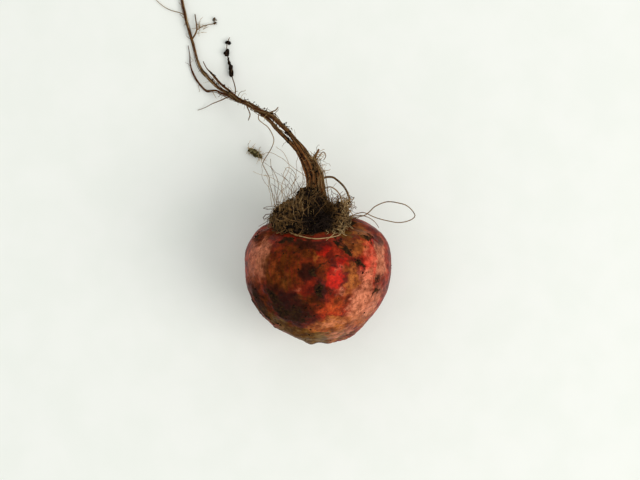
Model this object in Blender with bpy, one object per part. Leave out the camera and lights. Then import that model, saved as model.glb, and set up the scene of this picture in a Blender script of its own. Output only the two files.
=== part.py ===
"""A round, red-skinned storage root, lying on its side with its tap root and fine roots still on it.

Metres, +Z up. The origin is the centre of the small flat spot that the root rests on. Its root end
points along +Y and a little upwards. Its crown end, where the leaves grew, points along -Y.
"""

import math
import random

import bmesh
import bpy
from mathutils import Vector, noise

# The swollen storage root: its half sizes, and how it lies.
BODY_HALF_WIDTH = 0.0404
BODY_HALF_DEPTH = 0.0388
ROOT_END_REACH = 0.0265
CROWN_END_REACH = 0.0395
BODY_CENTRE = Vector((0.0003, 0.0025, 0.0384))
AXIS_TILT = math.radians(14)
ROOT_END_SQUARENESS = 2.9
CROWN_END_SQUARENESS = 2.0

# Relief on it, each a height above the plain shape.
DIMPLE_DEPTH = 0.0042
DIMPLE_ANGLE = 0.42
LOBE_HEIGHT = 0.0007
LOBE_TURNS = (0.6, 1.9)
RIB_HEIGHT = 0.0006
RIBS = 9
RIB_START_ANGLE = 0.5
RIB_END_ANGLE = 1.5
KNOB_HEIGHT = 0.0026
KNOB_ANGLE = 0.50
BUDS = 6
BUD_HEIGHT = 0.0010
BUD_RING_ANGLE = 0.24
BUD_SPREAD = 0.10
HEEL_HEIGHT = 0.0018
HEEL_SPREAD = 0.42
HEEL_DIRECTION = Vector((0.0, -0.28, -0.96)).normalized()
SHOULDER_HEIGHT = 0.0030
SHOULDER_SPREAD = 0.22
SHOULDER_DIRECTION = Vector((0.41, -0.90, -0.10)).normalized()
BODY_RINGS = 30
BODY_SEGMENTS = 44

# The gap kept between pieces that touch, and between a root and the surface it lies on.
CLEARANCE = 0.0004
FLOOR_GAP = 0.0003

# The mat of soil and short roots round the base of the tap root.
MAT_THICKNESS = 0.0085
MAT_COLLAR = 0.0105
MAT_ANGLE = 0.62
MAT_LEAN = 0.16
MAT_EDGE = 0.0008
MAT_LUMP = 0.0036
MAT_LUMP_SIZE = 0.0075
MAT_LEFT_SHARE = 0.25
MAT_OVER_REACH = 0.10
MAT_COLLAR_SHARE = (0.50, 0.34)
MAT_RINGS = 9
MAT_SEGMENTS = 32

# Clumps on the mat, and a hollow in it: angle round the axis, share of the way out, height.
MAT_CLUMPS = [(2.55, 0.68, 0.0030), (0.50, 0.74, 0.0070), (1.40, 0.68, -0.0034)]
MAT_CLUMP_TURN = 0.6
MAT_CLUMP_SPREAD = 0.32

# Roots that curl round in the nest on top of that mat. Angles are from the root end, and the nest
# leans to the left as the mat does.
NEST_ROOTS = 40
NEST_POINTS = 10
NEST_ROOT_RADIUS = 0.00045
NEST_START_ANGLE = 0.22
NEST_START_HEIGHT = 0.004
NEST_REACH = (0.48, 0.74)
NEST_SWEEP = (0.8, 2.3)
NEST_LIFT = (0.0012, 0.0105)
NEST_LEFT_REACH = 0.05
NEST_LEFT_LIFT = 0.25
NEST_SEED = 7

# Roots that leave the mat and hang over the shoulder of the body.
DRAPED_ROOTS = 9
DRAPED_POINTS = 9
DRAPED_START_ANGLE = 0.35
DRAPED_REACH = (0.80, 1.05)
DRAPED_LEFT_REACH = 0.12
DRAPED_SWEEP = 0.5
DRAPED_ARCH = 0.005

# Roots follow smooth curves through hand-set points, with a small unevenness.
STRAND_STEP = 0.0042
ROOTLET_STEP = 0.0032
KINK_SIZE = 0.009
KINK_HEIGHT = 0.0006
KINK_SEED = 3

# The three long strands of the tap root and a short one, from its base to each tip.
MAIN_STRAND = [
    (-0.0002, 0.0255, 0.0435), (-0.0014, 0.0428, 0.0452), (-0.0021, 0.0554, 0.0440),
    (-0.0092, 0.0675, 0.0400), (-0.0149, 0.0768, 0.0350), (-0.0215, 0.0836, 0.0300),
    (-0.0347, 0.0927, 0.0210), (-0.0473, 0.0991, 0.0120), (-0.0565, 0.1052, 0.0065),
    (-0.0667, 0.1170, 0.0026), (-0.0707, 0.1295, 0.0016), (-0.0754, 0.1456, 0.0014),
    (-0.0773, 0.1551, 0.0012), (-0.0792, 0.1685, 0.0011), (-0.0782, 0.1815, 0.0010),
    (-0.0827, 0.1925, 0.0009),
]
TWIN_STRAND = [
    (-0.0032, 0.0250, 0.0425), (-0.0034, 0.0405, 0.0435), (-0.0044, 0.0545, 0.0425),
    (-0.0097, 0.0660, 0.0385), (-0.0182, 0.0755, 0.0335), (-0.0254, 0.0833, 0.0290),
    (-0.0317, 0.0895, 0.0240), (-0.0412, 0.0953, 0.0175), (-0.0517, 0.1038, 0.0110),
    (-0.0577, 0.1105, 0.0075), (-0.0622, 0.1155, 0.0050), (-0.0647, 0.1195, 0.0045),
]
OUTER_STRAND = [
    (0.0048, 0.0255, 0.0425), (0.0033, 0.0405, 0.0440), (0.0006, 0.0545, 0.0425),
    (-0.0057, 0.0645, 0.0400), (-0.0142, 0.0755, 0.0362), (-0.0237, 0.0860, 0.0300),
    (-0.0342, 0.0915, 0.0228), (-0.0467, 0.0973, 0.0135), (-0.0572, 0.1028, 0.0055),
    (-0.0632, 0.1033, 0.0022), (-0.0680, 0.1083, 0.0012), (-0.0717, 0.1150, 0.0009),
    (-0.0727, 0.1235, 0.0009), (-0.0737, 0.1290, 0.0008),
]
SHORT_STRAND = [
    (0.0023, 0.0245, 0.0460), (0.0038, 0.0385, 0.0485), (0.0020, 0.0525, 0.0480),
    (-0.0007, 0.0625, 0.0462), (0.0013, 0.0670, 0.0462),
]

# Each strand's radius at its base, how many pairs of sides it has more than the plain four, and its
# route. All thin out alike: the share of that radius which is left at a distance along the strand.
STRANDS = {
    "main": (0.0029, 2, MAIN_STRAND),
    "twin": (0.0025, 1, TWIN_STRAND),
    "outer": (0.0025, 1, OUTER_STRAND),
    "short": (0.0021, 1, SHORT_STRAND),
}
STRAND_TAPER = [(0.0, 1.0), (0.028, 0.95), (0.050, 0.50), (0.100, 0.30), (0.200, 0.20)]
STRAND_TIP_LENGTH = 0.022
STRAND_TIP_SHARE = 0.45

# Thin roots, each with its radius at the start and at the tip.
SIDE_ROOTLETS = {
    "forked_end": (0.0008, 0.0004, [
        (-0.0714, 0.1325, 0.0016), (-0.0684, 0.1380, 0.0022), (-0.0692, 0.1430, 0.0020),
        (-0.0700, 0.1470, 0.0012)]),
    "fork_twig": (0.0004, 0.0003, [
        (-0.0686, 0.1377, 0.0022), (-0.0652, 0.1400, 0.0018), (-0.0592, 0.1417, 0.0010),
        (-0.0584, 0.1445, 0.0008)]),
    "far_hair": (0.0004, 0.0003, [
        (-0.0756, 0.1465, 0.0013), (-0.0837, 0.1495, 0.0010), (-0.0897, 0.1533, 0.0009),
        (-0.0937, 0.1565, 0.0008)]),
    "clod_hair": (0.0005, 0.0004, [
        (-0.0462, 0.0995, 0.0118), (-0.0462, 0.1050, 0.0066), (-0.0463, 0.1115, 0.0022),
        (-0.0466, 0.1175, 0.0012), (-0.0486, 0.1240, 0.0010), (-0.0490, 0.1305, 0.0008),
        (-0.0492, 0.1357, 0.0008)]),
    "right_spur": (0.0006, 0.0004, [
        (-0.0282, 0.0865, 0.0262), (-0.0252, 0.0890, 0.0275), (-0.0230, 0.0897, 0.0272),
        (-0.0214, 0.0915, 0.0262)]),
    "low_hair": (0.0006, 0.0003, [
        (-0.0482, 0.0995, 0.0110), (-0.0562, 0.0968, 0.0062), (-0.0622, 0.0941, 0.0022),
        (-0.0682, 0.0919, 0.0008)]),
    "stub_hair": (0.0006, 0.0004, [
        (-0.0402, 0.0965, 0.0165), (-0.0390, 0.0925, 0.0135), (-0.0377, 0.0890, 0.0110),
        (-0.0384, 0.0855, 0.0100)]),
    "long_loop": (0.0006, 0.0004, [
        (-0.0317, 0.0910, 0.0225), (-0.0324, 0.0855, 0.0150), (-0.0275, 0.0817, 0.0105),
        (-0.0242, 0.0751, 0.0075), (-0.0260, 0.0695, 0.0050), (-0.0292, 0.0650, 0.0030),
        (-0.0310, 0.0615, 0.0020), (-0.0292, 0.0575, 0.0040), (-0.0272, 0.0535, 0.0100),
        (-0.0254, 0.0465, 0.0220), (-0.0237, 0.0395, 0.0340), (-0.0217, 0.0335, 0.0380)]),
    "upright_hair": (0.0005, 0.0003, [
        (-0.0207, 0.0315, 0.0440), (-0.0217, 0.0405, 0.0460), (-0.0207, 0.0485, 0.0440),
        (-0.0242, 0.0565, 0.0400), (-0.0254, 0.0625, 0.0340)]),
    "curled_hair": (0.0005, 0.0003, [
        (-0.0112, 0.0345, 0.0470), (-0.0137, 0.0445, 0.0480), (-0.0112, 0.0525, 0.0450),
        (-0.0157, 0.0575, 0.0420), (-0.0182, 0.0525, 0.0400), (-0.0152, 0.0495, 0.0390)]),
    "hook_hair": (0.0006, 0.0003, [
        (-0.0022, 0.0565, 0.0440), (0.0008, 0.0620, 0.0450), (0.0033, 0.0655, 0.0450),
        (0.0048, 0.0635, 0.0440), (0.0038, 0.0610, 0.0430)]),
    "right_arch": (0.0009, 0.0006, [
        (0.0012, 0.0478, 0.0465), (0.0040, 0.0512, 0.0483), (0.0084, 0.0518, 0.0495),
        (0.0126, 0.0490, 0.0495), (0.0160, 0.0449, 0.0482), (0.0180, 0.0405, 0.0462),
        (0.0172, 0.0366, 0.0440), (0.0140, 0.0335, 0.0425)]),
    "inner_arch": (0.0006, 0.0005, [
        (0.0028, 0.0445, 0.0460), (0.0073, 0.0465, 0.0470), (0.0116, 0.0435, 0.0475),
        (0.0136, 0.0385, 0.0460), (0.0108, 0.0335, 0.0440), (0.0068, 0.0310, 0.0430)]),
    "right_loop": (0.0005, 0.0004, [
        (0.0088, 0.0295, 0.0440), (0.0183, 0.0295, 0.0445), (0.0266, 0.0315, 0.0440),
        (0.0314, 0.0358, 0.0430), (0.0384, 0.0389, 0.0420), (0.0448, 0.0381, 0.0405),
        (0.0503, 0.0360, 0.0385), (0.0544, 0.0311, 0.0370), (0.0500, 0.0281, 0.0368),
        (0.0431, 0.0274, 0.0375), (0.0360, 0.0286, 0.0390), (0.0298, 0.0310, 0.0412),
        (0.0254, 0.0327, 0.0428), (0.0198, 0.0310, 0.0430), (0.0128, 0.0283, 0.0430)]),
    "rim_fibre": (0.0007, 0.0006, [
        (-0.0142, 0.0265, 0.0560), (-0.0110, 0.0203, 0.0600), (-0.0054, 0.0183, 0.0620),
        (0.0008, 0.0169, 0.0626), (0.0071, 0.0190, 0.0615), (0.0118, 0.0217, 0.0590),
        (0.0153, 0.0265, 0.0550)]),
    "right_hair": (0.0005, 0.0003, [
        (0.0138, 0.0295, 0.0440), (0.0248, 0.0310, 0.0430), (0.0308, 0.0283, 0.0400),
        (0.0343, 0.0245, 0.0370)]),
}

# Clods of soil that cling to thin roots: place, half sizes and colour of each.
SOIL_CLODS = {
    "soil_clod_long": ((-0.0489, 0.1143, 0.0023), (0.0016, 0.0038, 0.0018), (0.045, 0.036, 0.028)),
    "soil_clod_oval": ((-0.0515, 0.1247, 0.0019), (0.0017, 0.0022, 0.0016), (0.045, 0.036, 0.028)),
    "soil_clod_small": ((-0.0512, 0.1308, 0.0014), (0.0011, 0.0011, 0.0011), (0.045, 0.036, 0.028)),
    "soil_clod_olive": ((-0.0349, 0.0673, 0.0024), (0.0042, 0.0026, 0.0019), (0.130, 0.110, 0.065)),
}
CLOD_LUMP = 0.0005
CLOD_LUMP_SIZE = 0.0022


def clear_scene():
    for item in list(bpy.data.objects):
        bpy.data.objects.remove(item, do_unlink=True)


def finish(name, colour, roughness):
    """A plain Principled material, not metallic, in linear colour."""
    material = bpy.data.materials.new(name)
    material.use_nodes = True
    shader = material.node_tree.nodes["Principled BSDF"]
    shader.inputs["Base Color"].default_value = (*colour, 1.0)
    shader.inputs["Roughness"].default_value = roughness
    shader.inputs["Metallic"].default_value = 0.0
    return material


def add_object(name, mesh, material):
    mesh.materials.clear()
    mesh.materials.append(material)
    mesh.shade_smooth()
    item = bpy.data.objects.new(name, mesh)
    bpy.context.scene.collection.objects.link(item)
    return item


def smooth_step(value):
    held = min(1.0, max(0.0, value))
    return held * held * (3.0 - 2.0 * held)


# The body's own directions: across it, over it, and along it towards the root end.
ACROSS = Vector((1.0, 0.0, 0.0))
OVER = Vector((0.0, -math.sin(AXIS_TILT), math.cos(AXIS_TILT)))
ALONG = Vector((0.0, math.cos(AXIS_TILT), math.sin(AXIS_TILT)))


def body_direction(phi, psi):
    """The unit vector at angle phi from the root end and psi round the axis."""
    sideways = ACROSS * math.cos(psi) + OVER * math.sin(psi)
    return ALONG * math.cos(phi) + sideways * math.sin(phi)


def crown_relief(phi, psi):
    """The low knob at the crown end, with its ring of buds and the scar in the middle."""
    from_crown = math.pi - phi
    knob = KNOB_HEIGHT * smooth_step(1.0 - from_crown / KNOB_ANGLE)
    ring = math.exp(-(((from_crown - BUD_RING_ANGLE) / BUD_SPREAD) ** 2))
    bud = 0.5 + 0.5 * math.cos(BUDS * psi + math.sin(psi))
    scar = -BUD_HEIGHT * math.exp(-((from_crown / BUD_SPREAD) ** 2))
    return knob + BUD_HEIGHT * ring * bud + scar


def root_end_relief(phi, psi):
    """The dimple that the tap root stands in, and the faint ribs that run out from it."""
    dimple = -DIMPLE_DEPTH * math.exp(-((phi / DIMPLE_ANGLE) ** 2))
    reach = smooth_step(phi / RIB_START_ANGLE) * smooth_step(2.0 * (1.0 - phi / RIB_END_ANGLE))
    rib = math.cos(RIBS * psi + 1.5 * math.sin(2.0 * psi))
    return dimple + RIB_HEIGHT * reach * rib


def skin_reach(phi, psi):
    """The distance from the body's centre to its skin."""
    across = math.hypot(BODY_HALF_WIDTH * math.cos(psi), BODY_HALF_DEPTH * math.sin(psi))
    root_end = phi < math.pi / 2
    along = ROOT_END_REACH if root_end else CROWN_END_REACH
    square = ROOT_END_SQUARENESS if root_end else CROWN_END_SQUARENESS
    plain = (abs(math.cos(phi) / along) ** square + (math.sin(phi) / across) ** square) ** (-1 / square)
    lobes = math.cos(3 * psi + LOBE_TURNS[0]) + math.cos(2 * psi + LOBE_TURNS[1])
    lobe = LOBE_HEIGHT * lobes * math.sin(phi) ** 2
    from_heel = body_direction(phi, psi).angle(HEEL_DIRECTION)
    heel = HEEL_HEIGHT * math.exp(-((from_heel / HEEL_SPREAD) ** 2))
    from_shoulder = body_direction(phi, psi).angle(SHOULDER_DIRECTION)
    shoulder = SHOULDER_HEIGHT * math.exp(-((from_shoulder / SHOULDER_SPREAD) ** 2))
    return plain + lobe + heel + shoulder + root_end_relief(phi, psi) + crown_relief(phi, psi)


def above_skin(phi, psi, height):
    return BODY_CENTRE + body_direction(phi, psi) * (skin_reach(phi, psi) + height)


def clear_of_body(point, radius):
    """Moves a point of a root out of the body and up off the surface, so that the root is clear."""
    arm = point - BODY_CENTRE
    phi = arm.angle(ALONG)
    psi = math.atan2(arm.dot(OVER), arm.dot(ACROSS))
    nearest = skin_reach(phi, psi) + radius + CLEARANCE
    if arm.length < nearest:
        point = BODY_CENTRE + arm.normalized() * nearest
    return Vector((point.x, point.y, max(point.z, radius + FLOOR_GAP)))


def add_ring(bm, points):
    return [bm.verts.new(point) for point in points]


def join_rings(bm, first, second):
    count = len(first)
    for i in range(count):
        after = (i + 1) % count
        bm.faces.new((first[i], second[i], second[after], first[after]))


def close_pole(bm, pole, ring, outward):
    """Fans a ring to one vertex. outward is True where the ring turns anticlockwise seen from outside."""
    count = len(ring)
    for i in range(count):
        pair = (ring[i], ring[(i + 1) % count])
        bm.faces.new((pole, *pair) if outward else (pole, *reversed(pair)))


def mesh_from(bm, name):
    bmesh.ops.recalc_face_normals(bm, faces=bm.faces)
    mesh = bpy.data.meshes.new(name)
    bm.to_mesh(mesh)
    bm.free()
    return mesh


def storage_root():
    """The swollen body, cut flat where it rests."""
    bm = bmesh.new()
    rings = []
    for i in range(1, BODY_RINGS):
        phi = math.pi * i / BODY_RINGS
        turns = [math.tau * j / BODY_SEGMENTS for j in range(BODY_SEGMENTS)]
        rings.append(add_ring(bm, [above_skin(phi, psi, 0.0) for psi in turns]))
    for first, second in zip(rings, rings[1:]):
        join_rings(bm, first, second)
    close_pole(bm, bm.verts.new(above_skin(0.0, 0.0, 0.0)), rings[0], True)
    close_pole(bm, bm.verts.new(above_skin(math.pi, 0.0, 0.0)), rings[-1], False)
    everything = bm.verts[:] + bm.edges[:] + bm.faces[:]
    bmesh.ops.bisect_plane(bm, geom=everything, plane_co=(0, 0, 0), plane_no=(0, 0, -1), clear_outer=True)
    bmesh.ops.holes_fill(bm, edges=[edge for edge in bm.edges if edge.is_boundary])
    return mesh_from(bm, "storage_root")


def mat_angle(psi):
    """How far from the root end the mat comes. It leans to the left, and comes up over the rim."""
    return MAT_ANGLE - MAT_LEAN * math.cos(psi) + MAT_OVER_REACH * max(0.0, math.sin(psi))


def mat_clumps(share, psi):
    """What the clumps and the hollow add to the mat."""
    total = 0.0
    for middle, at, height in MAT_CLUMPS:
        turn = math.remainder(psi - middle, math.tau) / MAT_CLUMP_TURN
        out = (share - at) / MAT_CLUMP_SPREAD
        total += height * math.exp(-turn ** 2 - out ** 2)
    return total


def mat_thickness(share, psi):
    """How thick the mat is at a share of the way from the tap root to the mat's edge."""
    point = above_skin(share * MAT_ANGLE, psi, 0.0)
    inside = smooth_step((1.0 - share) * 3.0)
    lump = MAT_LUMP * noise.noise(point / MAT_LUMP_SIZE) + mat_clumps(share, psi)
    plateau = MAT_THICKNESS * (1.0 - share ** 4) * (1.0 - MAT_LEFT_SHARE * math.cos(psi))
    collar_end, collar_slope = MAT_COLLAR_SHARE
    collar = MAT_COLLAR * smooth_step((collar_end - share) / collar_slope)
    return MAT_EDGE + plateau + collar + lump * inside


def root_mat():
    """The mat, which follows the skin under it and leaves the clearance to it."""
    bm = bmesh.new()
    turns = [math.tau * j / MAT_SEGMENTS for j in range(MAT_SEGMENTS)]
    under, over = [], []
    for i in range(1, MAT_RINGS + 1):
        share = i / MAT_RINGS
        angles = [share * mat_angle(psi) for psi in turns]
        low = [above_skin(a, psi, CLEARANCE) for a, psi in zip(angles, turns)]
        high = [above_skin(a, psi, CLEARANCE + mat_thickness(share, psi)) for a, psi in zip(angles, turns)]
        under.append(add_ring(bm, low))
        over.append(add_ring(bm, high))
    for rings in (under, over):
        for first, second in zip(rings, rings[1:]):
            join_rings(bm, first, second)
    join_rings(bm, over[-1], under[-1])
    close_pole(bm, bm.verts.new(above_skin(0.0, 0.0, CLEARANCE)), under[0], False)
    close_pole(bm, bm.verts.new(above_skin(0.0, 0.0, CLEARANCE + mat_thickness(0.0, 0.0))), over[0], True)
    return mesh_from(bm, "root_mat")


def smooth_route(corners, step):
    """Points at about even steps along a smooth curve through the corners."""
    points = [Vector(corner) for corner in corners]
    ends = [2 * points[0] - points[1], *points, 2 * points[-1] - points[-2]]
    route = []
    for a, b, c, d in zip(ends, ends[1:], ends[2:], ends[3:]):
        count = max(1, round((c - b).length / step))
        for i in range(count):
            t = i / count
            bend = (3 * b - a - 3 * c + d) * t + (2 * a - 5 * b + 4 * c - d)
            route.append(b + 0.5 * t * (c - a + t * bend))
    return [*route, points[-1]]


def kinked(route):
    """Roots are never quite smooth: each point but the first moves a little, by place."""
    moved = [point + KINK_HEIGHT * noise.noise_vector(point / KINK_SIZE) for point in route[1:]]
    return [route[0], *moved]


def even_taper(route, start, tip):
    """The radius at each point of a thin root."""
    return [start + (tip - start) * i / (len(route) - 1) for i in range(len(route))]


def taper_share(run):
    """The share of a strand's radius that is left at a distance from its base."""
    for (near, first), (far, second) in zip(STRAND_TAPER, STRAND_TAPER[1:]):
        if run <= far:
            return first + (second - first) * (run - near) / (far - near)
    return STRAND_TAPER[-1][1]


def strand_taper(route, start):
    """The radius at each point of a strand, which comes to a fine tip."""
    runs, run = [0.0], 0.0
    for before, after in zip(route, route[1:]):
        run += (after - before).length
        runs.append(run)
    radii = []
    for at in runs:
        tip = STRAND_TIP_SHARE + (1.0 - STRAND_TIP_SHARE) * smooth_step((run - at) / STRAND_TIP_LENGTH)
        radii.append(start * taper_share(at) * tip)
    return radii


def root_tube(name, route, radii, sides_extra):
    """A tapered root along a route. It has 4 sides, and 2 more for each of sides_extra."""
    curve = bpy.data.curves.new(name, "CURVE")
    curve.dimensions = "3D"
    curve.bevel_depth = 1.0
    curve.bevel_resolution = sides_extra
    curve.use_fill_caps = True
    spline = curve.splines.new("POLY")
    spline.points.add(len(route) - 1)
    for node, point, radius in zip(spline.points, route, radii):
        node.co = (*clear_of_body(point, radius), 1.0)
        node.radius = radius
    guide = bpy.data.objects.new(name, curve)
    bpy.context.scene.collection.objects.link(guide)
    bpy.context.view_layer.update()
    mesh = bpy.data.meshes.new_from_object(guide)
    bpy.data.objects.remove(guide)
    bm = bmesh.new()
    bm.from_mesh(mesh)
    bmesh.ops.remove_doubles(bm, verts=bm.verts, dist=1e-6)
    return mesh_from(bm, name)


def nest_route(rng):
    """One root that leaves the mat, runs part of the way round it and dips back in."""
    start = rng.uniform(0.0, math.tau)
    sweep = rng.choice((-1, 1)) * rng.uniform(*NEST_SWEEP)
    leftward = -math.cos(start + sweep / 2)
    reach = rng.uniform(*NEST_REACH) + NEST_LEFT_REACH * leftward
    lift = rng.uniform(*NEST_LIFT) * (1.0 + NEST_LEFT_LIFT * leftward)
    route = []
    for i in range(NEST_POINTS):
        t = i / (NEST_POINTS - 1)
        bow = math.sin(math.pi * t)
        phi = NEST_START_ANGLE + (reach - NEST_START_ANGLE) * bow
        height = NEST_ROOT_RADIUS + CLEARANCE + NEST_START_HEIGHT * (1 - bow) + lift * bow
        route.append(above_skin(phi, start + sweep * t, height))
    return route


def draped_route(rng):
    """One root that leaves the mat and hangs over the shoulder of the body."""
    start = rng.uniform(0.0, math.tau)
    sweep = rng.uniform(-DRAPED_SWEEP, DRAPED_SWEEP)
    reach = rng.uniform(*DRAPED_REACH) - DRAPED_LEFT_REACH * math.cos(start)
    route = []
    for i in range(DRAPED_POINTS):
        t = i / (DRAPED_POINTS - 1)
        phi = DRAPED_START_ANGLE + (reach - DRAPED_START_ANGLE) * t
        height = NEST_ROOT_RADIUS + CLEARANCE + DRAPED_ARCH * math.sin(math.pi * t) ** 2
        route.append(above_skin(phi, start + sweep * t * t, height))
    return route


def root_pieces():
    """The meshes that make up the tap root with its thin roots, its nest and its mat."""
    for name, (start, extra, corners) in STRANDS.items():
        route = kinked(smooth_route(corners, STRAND_STEP))
        yield root_tube(name, route, strand_taper(route, start), extra)
    yield root_mat()
    for name, (start, tip, corners) in SIDE_ROOTLETS.items():
        route = kinked(smooth_route(corners, ROOTLET_STEP))
        yield root_tube(name, route, even_taper(route, start, tip), 0)
    rng = random.Random(NEST_SEED)
    routes = [nest_route(rng) for _ in range(NEST_ROOTS)] + [draped_route(rng) for _ in range(DRAPED_ROOTS)]
    for i, route in enumerate(routes):
        yield root_tube(f"nest_{i}", kinked(route), even_taper(route, NEST_ROOT_RADIUS, NEST_ROOT_RADIUS * 0.8), 0)


def largest_shell(mesh):
    """Keeps the outer surface of a union, without loose scraps or the walls of sealed hollows."""
    bm = bmesh.new()
    bm.from_mesh(mesh)
    left = set(bm.verts)
    shells = []
    while left:
        shell = set()
        reached = [left.pop()]
        while reached:
            vert = reached.pop()
            shell.add(vert)
            near = {edge.other_vert(vert) for edge in vert.link_edges} & left
            left -= near
            reached.extend(near)
        shells.append(shell)
    keep = max(shells, key=len)
    bmesh.ops.delete(bm, geom=[vert for vert in bm.verts if vert not in keep], context="VERTS")
    bmesh.ops.triangulate(bm, faces=bm.faces)
    bm.to_mesh(mesh)
    bm.free()
    return mesh


def tap_root(material):
    """Every root below the body, joined into one solid."""
    first, *others = root_pieces()
    base = add_object("tap_root_base", first, material)
    rest = bpy.data.collections.new("roots_to_join")
    bpy.context.scene.collection.children.link(rest)
    for mesh in others:
        rest.objects.link(bpy.data.objects.new(mesh.name, mesh))
    union = base.modifiers.new("join", "BOOLEAN")
    union.operation = "UNION"
    union.operand_type = "COLLECTION"
    union.collection = rest
    union.solver = "MANIFOLD"
    bpy.context.view_layer.update()
    graph = bpy.context.evaluated_depsgraph_get()
    joined = bpy.data.meshes.new_from_object(base.evaluated_get(graph))
    joined.name = "tap_root"
    for item in [base, *rest.objects]:
        bpy.data.objects.remove(item)
    bpy.data.collections.remove(rest)
    return add_object("tap_root", largest_shell(joined), material)


def soil_clod(name, place, half_sizes):
    """A lump of soil: a ball drawn out to its half sizes and made uneven."""
    bm = bmesh.new()
    bmesh.ops.create_icosphere(bm, subdivisions=2, radius=1.0)
    for vert in bm.verts:
        point = Vector(place) + Vector([a * b for a, b in zip(vert.co, half_sizes)])
        lump = CLOD_LUMP * noise.noise(point / CLOD_LUMP_SIZE)
        point += vert.co * lump
        vert.co = (point.x, point.y, max(point.z, FLOOR_GAP))
    return mesh_from(bm, name)


def main():
    clear_scene()
    noise.seed_set(KINK_SEED)
    skin = finish("red_skin", (0.42, 0.045, 0.025), 0.45)
    bark = finish("brown_root", (0.10, 0.05, 0.022), 0.8)
    add_object("storage_root", storage_root(), skin)
    tap_root(bark)
    for name, (place, half_sizes, colour) in SOIL_CLODS.items():
        add_object(name, soil_clod(name, place, half_sizes), finish(name, colour, 0.95))


main()
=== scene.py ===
# %% [markdown]
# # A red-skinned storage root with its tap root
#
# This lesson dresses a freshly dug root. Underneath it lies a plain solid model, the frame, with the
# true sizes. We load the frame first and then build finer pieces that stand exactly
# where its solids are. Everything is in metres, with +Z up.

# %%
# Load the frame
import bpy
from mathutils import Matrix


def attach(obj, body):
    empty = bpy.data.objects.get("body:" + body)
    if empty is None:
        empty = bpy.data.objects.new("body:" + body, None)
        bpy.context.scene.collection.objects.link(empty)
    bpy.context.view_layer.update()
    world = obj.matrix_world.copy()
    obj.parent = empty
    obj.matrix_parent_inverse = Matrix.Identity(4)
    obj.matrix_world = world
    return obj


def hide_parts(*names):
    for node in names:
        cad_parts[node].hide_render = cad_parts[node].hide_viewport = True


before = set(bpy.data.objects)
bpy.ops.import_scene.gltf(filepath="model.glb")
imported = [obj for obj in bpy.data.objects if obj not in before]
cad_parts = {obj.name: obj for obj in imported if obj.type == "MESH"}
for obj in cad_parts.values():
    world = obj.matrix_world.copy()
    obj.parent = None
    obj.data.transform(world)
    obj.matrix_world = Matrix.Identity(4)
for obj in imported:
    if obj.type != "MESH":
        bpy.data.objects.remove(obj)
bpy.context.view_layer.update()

# %%
# Modules and the measures that the whole lesson shares
import math
import random

import bmesh
import bpy
import numpy as np
from mathutils import Vector, noise

MM = 0.001
SEED = 7
rng = random.Random(SEED)
noise.seed_set(SEED)
scene = bpy.context.scene

# %% [markdown]
# ## The shape of the body
#
# The swollen root is one smooth form: blunt at the root end, rounder and longer at the crown end where
# the leaves grew. One formula gives the distance from its middle to its skin in any direction, so the
# same rule can make the skin, hold the soil on it and keep every thin root from sinking into it. Two
# angles name a direction: `phi` from the root end, and `psi` round the axis. Working with whole arrays
# in numpy keeps this fast, because a fine skin has tens of thousands of points.

# %%
# Measures of the body, the same as in the solid model
BODY_CENTRE = np.array([0.3, 2.5, 38.4]) * MM
AXIS_TILT = math.radians(14)
HALF_WIDTH, HALF_DEPTH = 40.4 * MM, 38.8 * MM
ROOT_END_REACH, CROWN_END_REACH = 26.5 * MM, 39.5 * MM
ROOT_END_SQUARENESS, CROWN_END_SQUARENESS = 2.9, 2.0
LOBE_HEIGHT, RIB_HEIGHT = 0.7 * MM, 0.6 * MM
DIMPLE_DEPTH, DIMPLE_SPREAD = 4.2 * MM, 0.42
KNOB_HEIGHT, KNOB_REACH = 2.6 * MM, 0.50
BUD_HEIGHT, BUD_RING, BUD_SPREAD = 1.0 * MM, 0.24, 0.10

# Swellings at the heel and on the right of the crown end: direction, height, spread as an angle
SWELLINGS = [((0.0, -0.28, -0.96), 1.8 * MM, 0.42), ((0.41, -0.90, -0.10), 3.0 * MM, 0.22)]

# The directions across the body, over it and along it to the root end
ACROSS = np.array([1.0, 0.0, 0.0])
OVER = np.array([0.0, -math.sin(AXIS_TILT), math.cos(AXIS_TILT)])
ALONG = np.array([0.0, math.cos(AXIS_TILT), math.sin(AXIS_TILT)])

# %%
# The body's formula
def smooth_step(value):
    held = np.clip(value, 0.0, 1.0)
    return held * held * (3.0 - 2.0 * held)


def bump(distance, spread):
    """1 in the middle, falling smoothly to 0 at a few spreads away."""
    return np.exp(-((distance / spread) ** 2))


def body_direction(phi, psi):
    sideways = np.multiply.outer(np.cos(psi), ACROSS) + np.multiply.outer(np.sin(psi), OVER)
    return np.multiply.outer(np.cos(phi), ALONG) + np.sin(phi)[..., None] * sideways


def crown_relief(phi, psi):
    """The low knob where the leaves grew, its ring of six buds and the scar in the middle."""
    from_crown = math.pi - phi
    knob = KNOB_HEIGHT * smooth_step(1.0 - from_crown / KNOB_REACH)
    ring = bump(from_crown - BUD_RING, BUD_SPREAD) * (0.5 + 0.5 * np.cos(6 * psi + np.sin(psi)))
    return knob + BUD_HEIGHT * (ring - bump(from_crown, BUD_SPREAD))


def root_end_relief(phi, psi):
    """The dimple round the tap root and the faint ribs that run out from it."""
    reach = smooth_step(phi / 0.5) * smooth_step(2.0 * (1.0 - phi / 1.5))
    ribs = np.cos(9 * psi + 1.5 * np.sin(2 * psi))
    return RIB_HEIGHT * reach * ribs - DIMPLE_DEPTH * bump(phi, DIMPLE_SPREAD)


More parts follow.
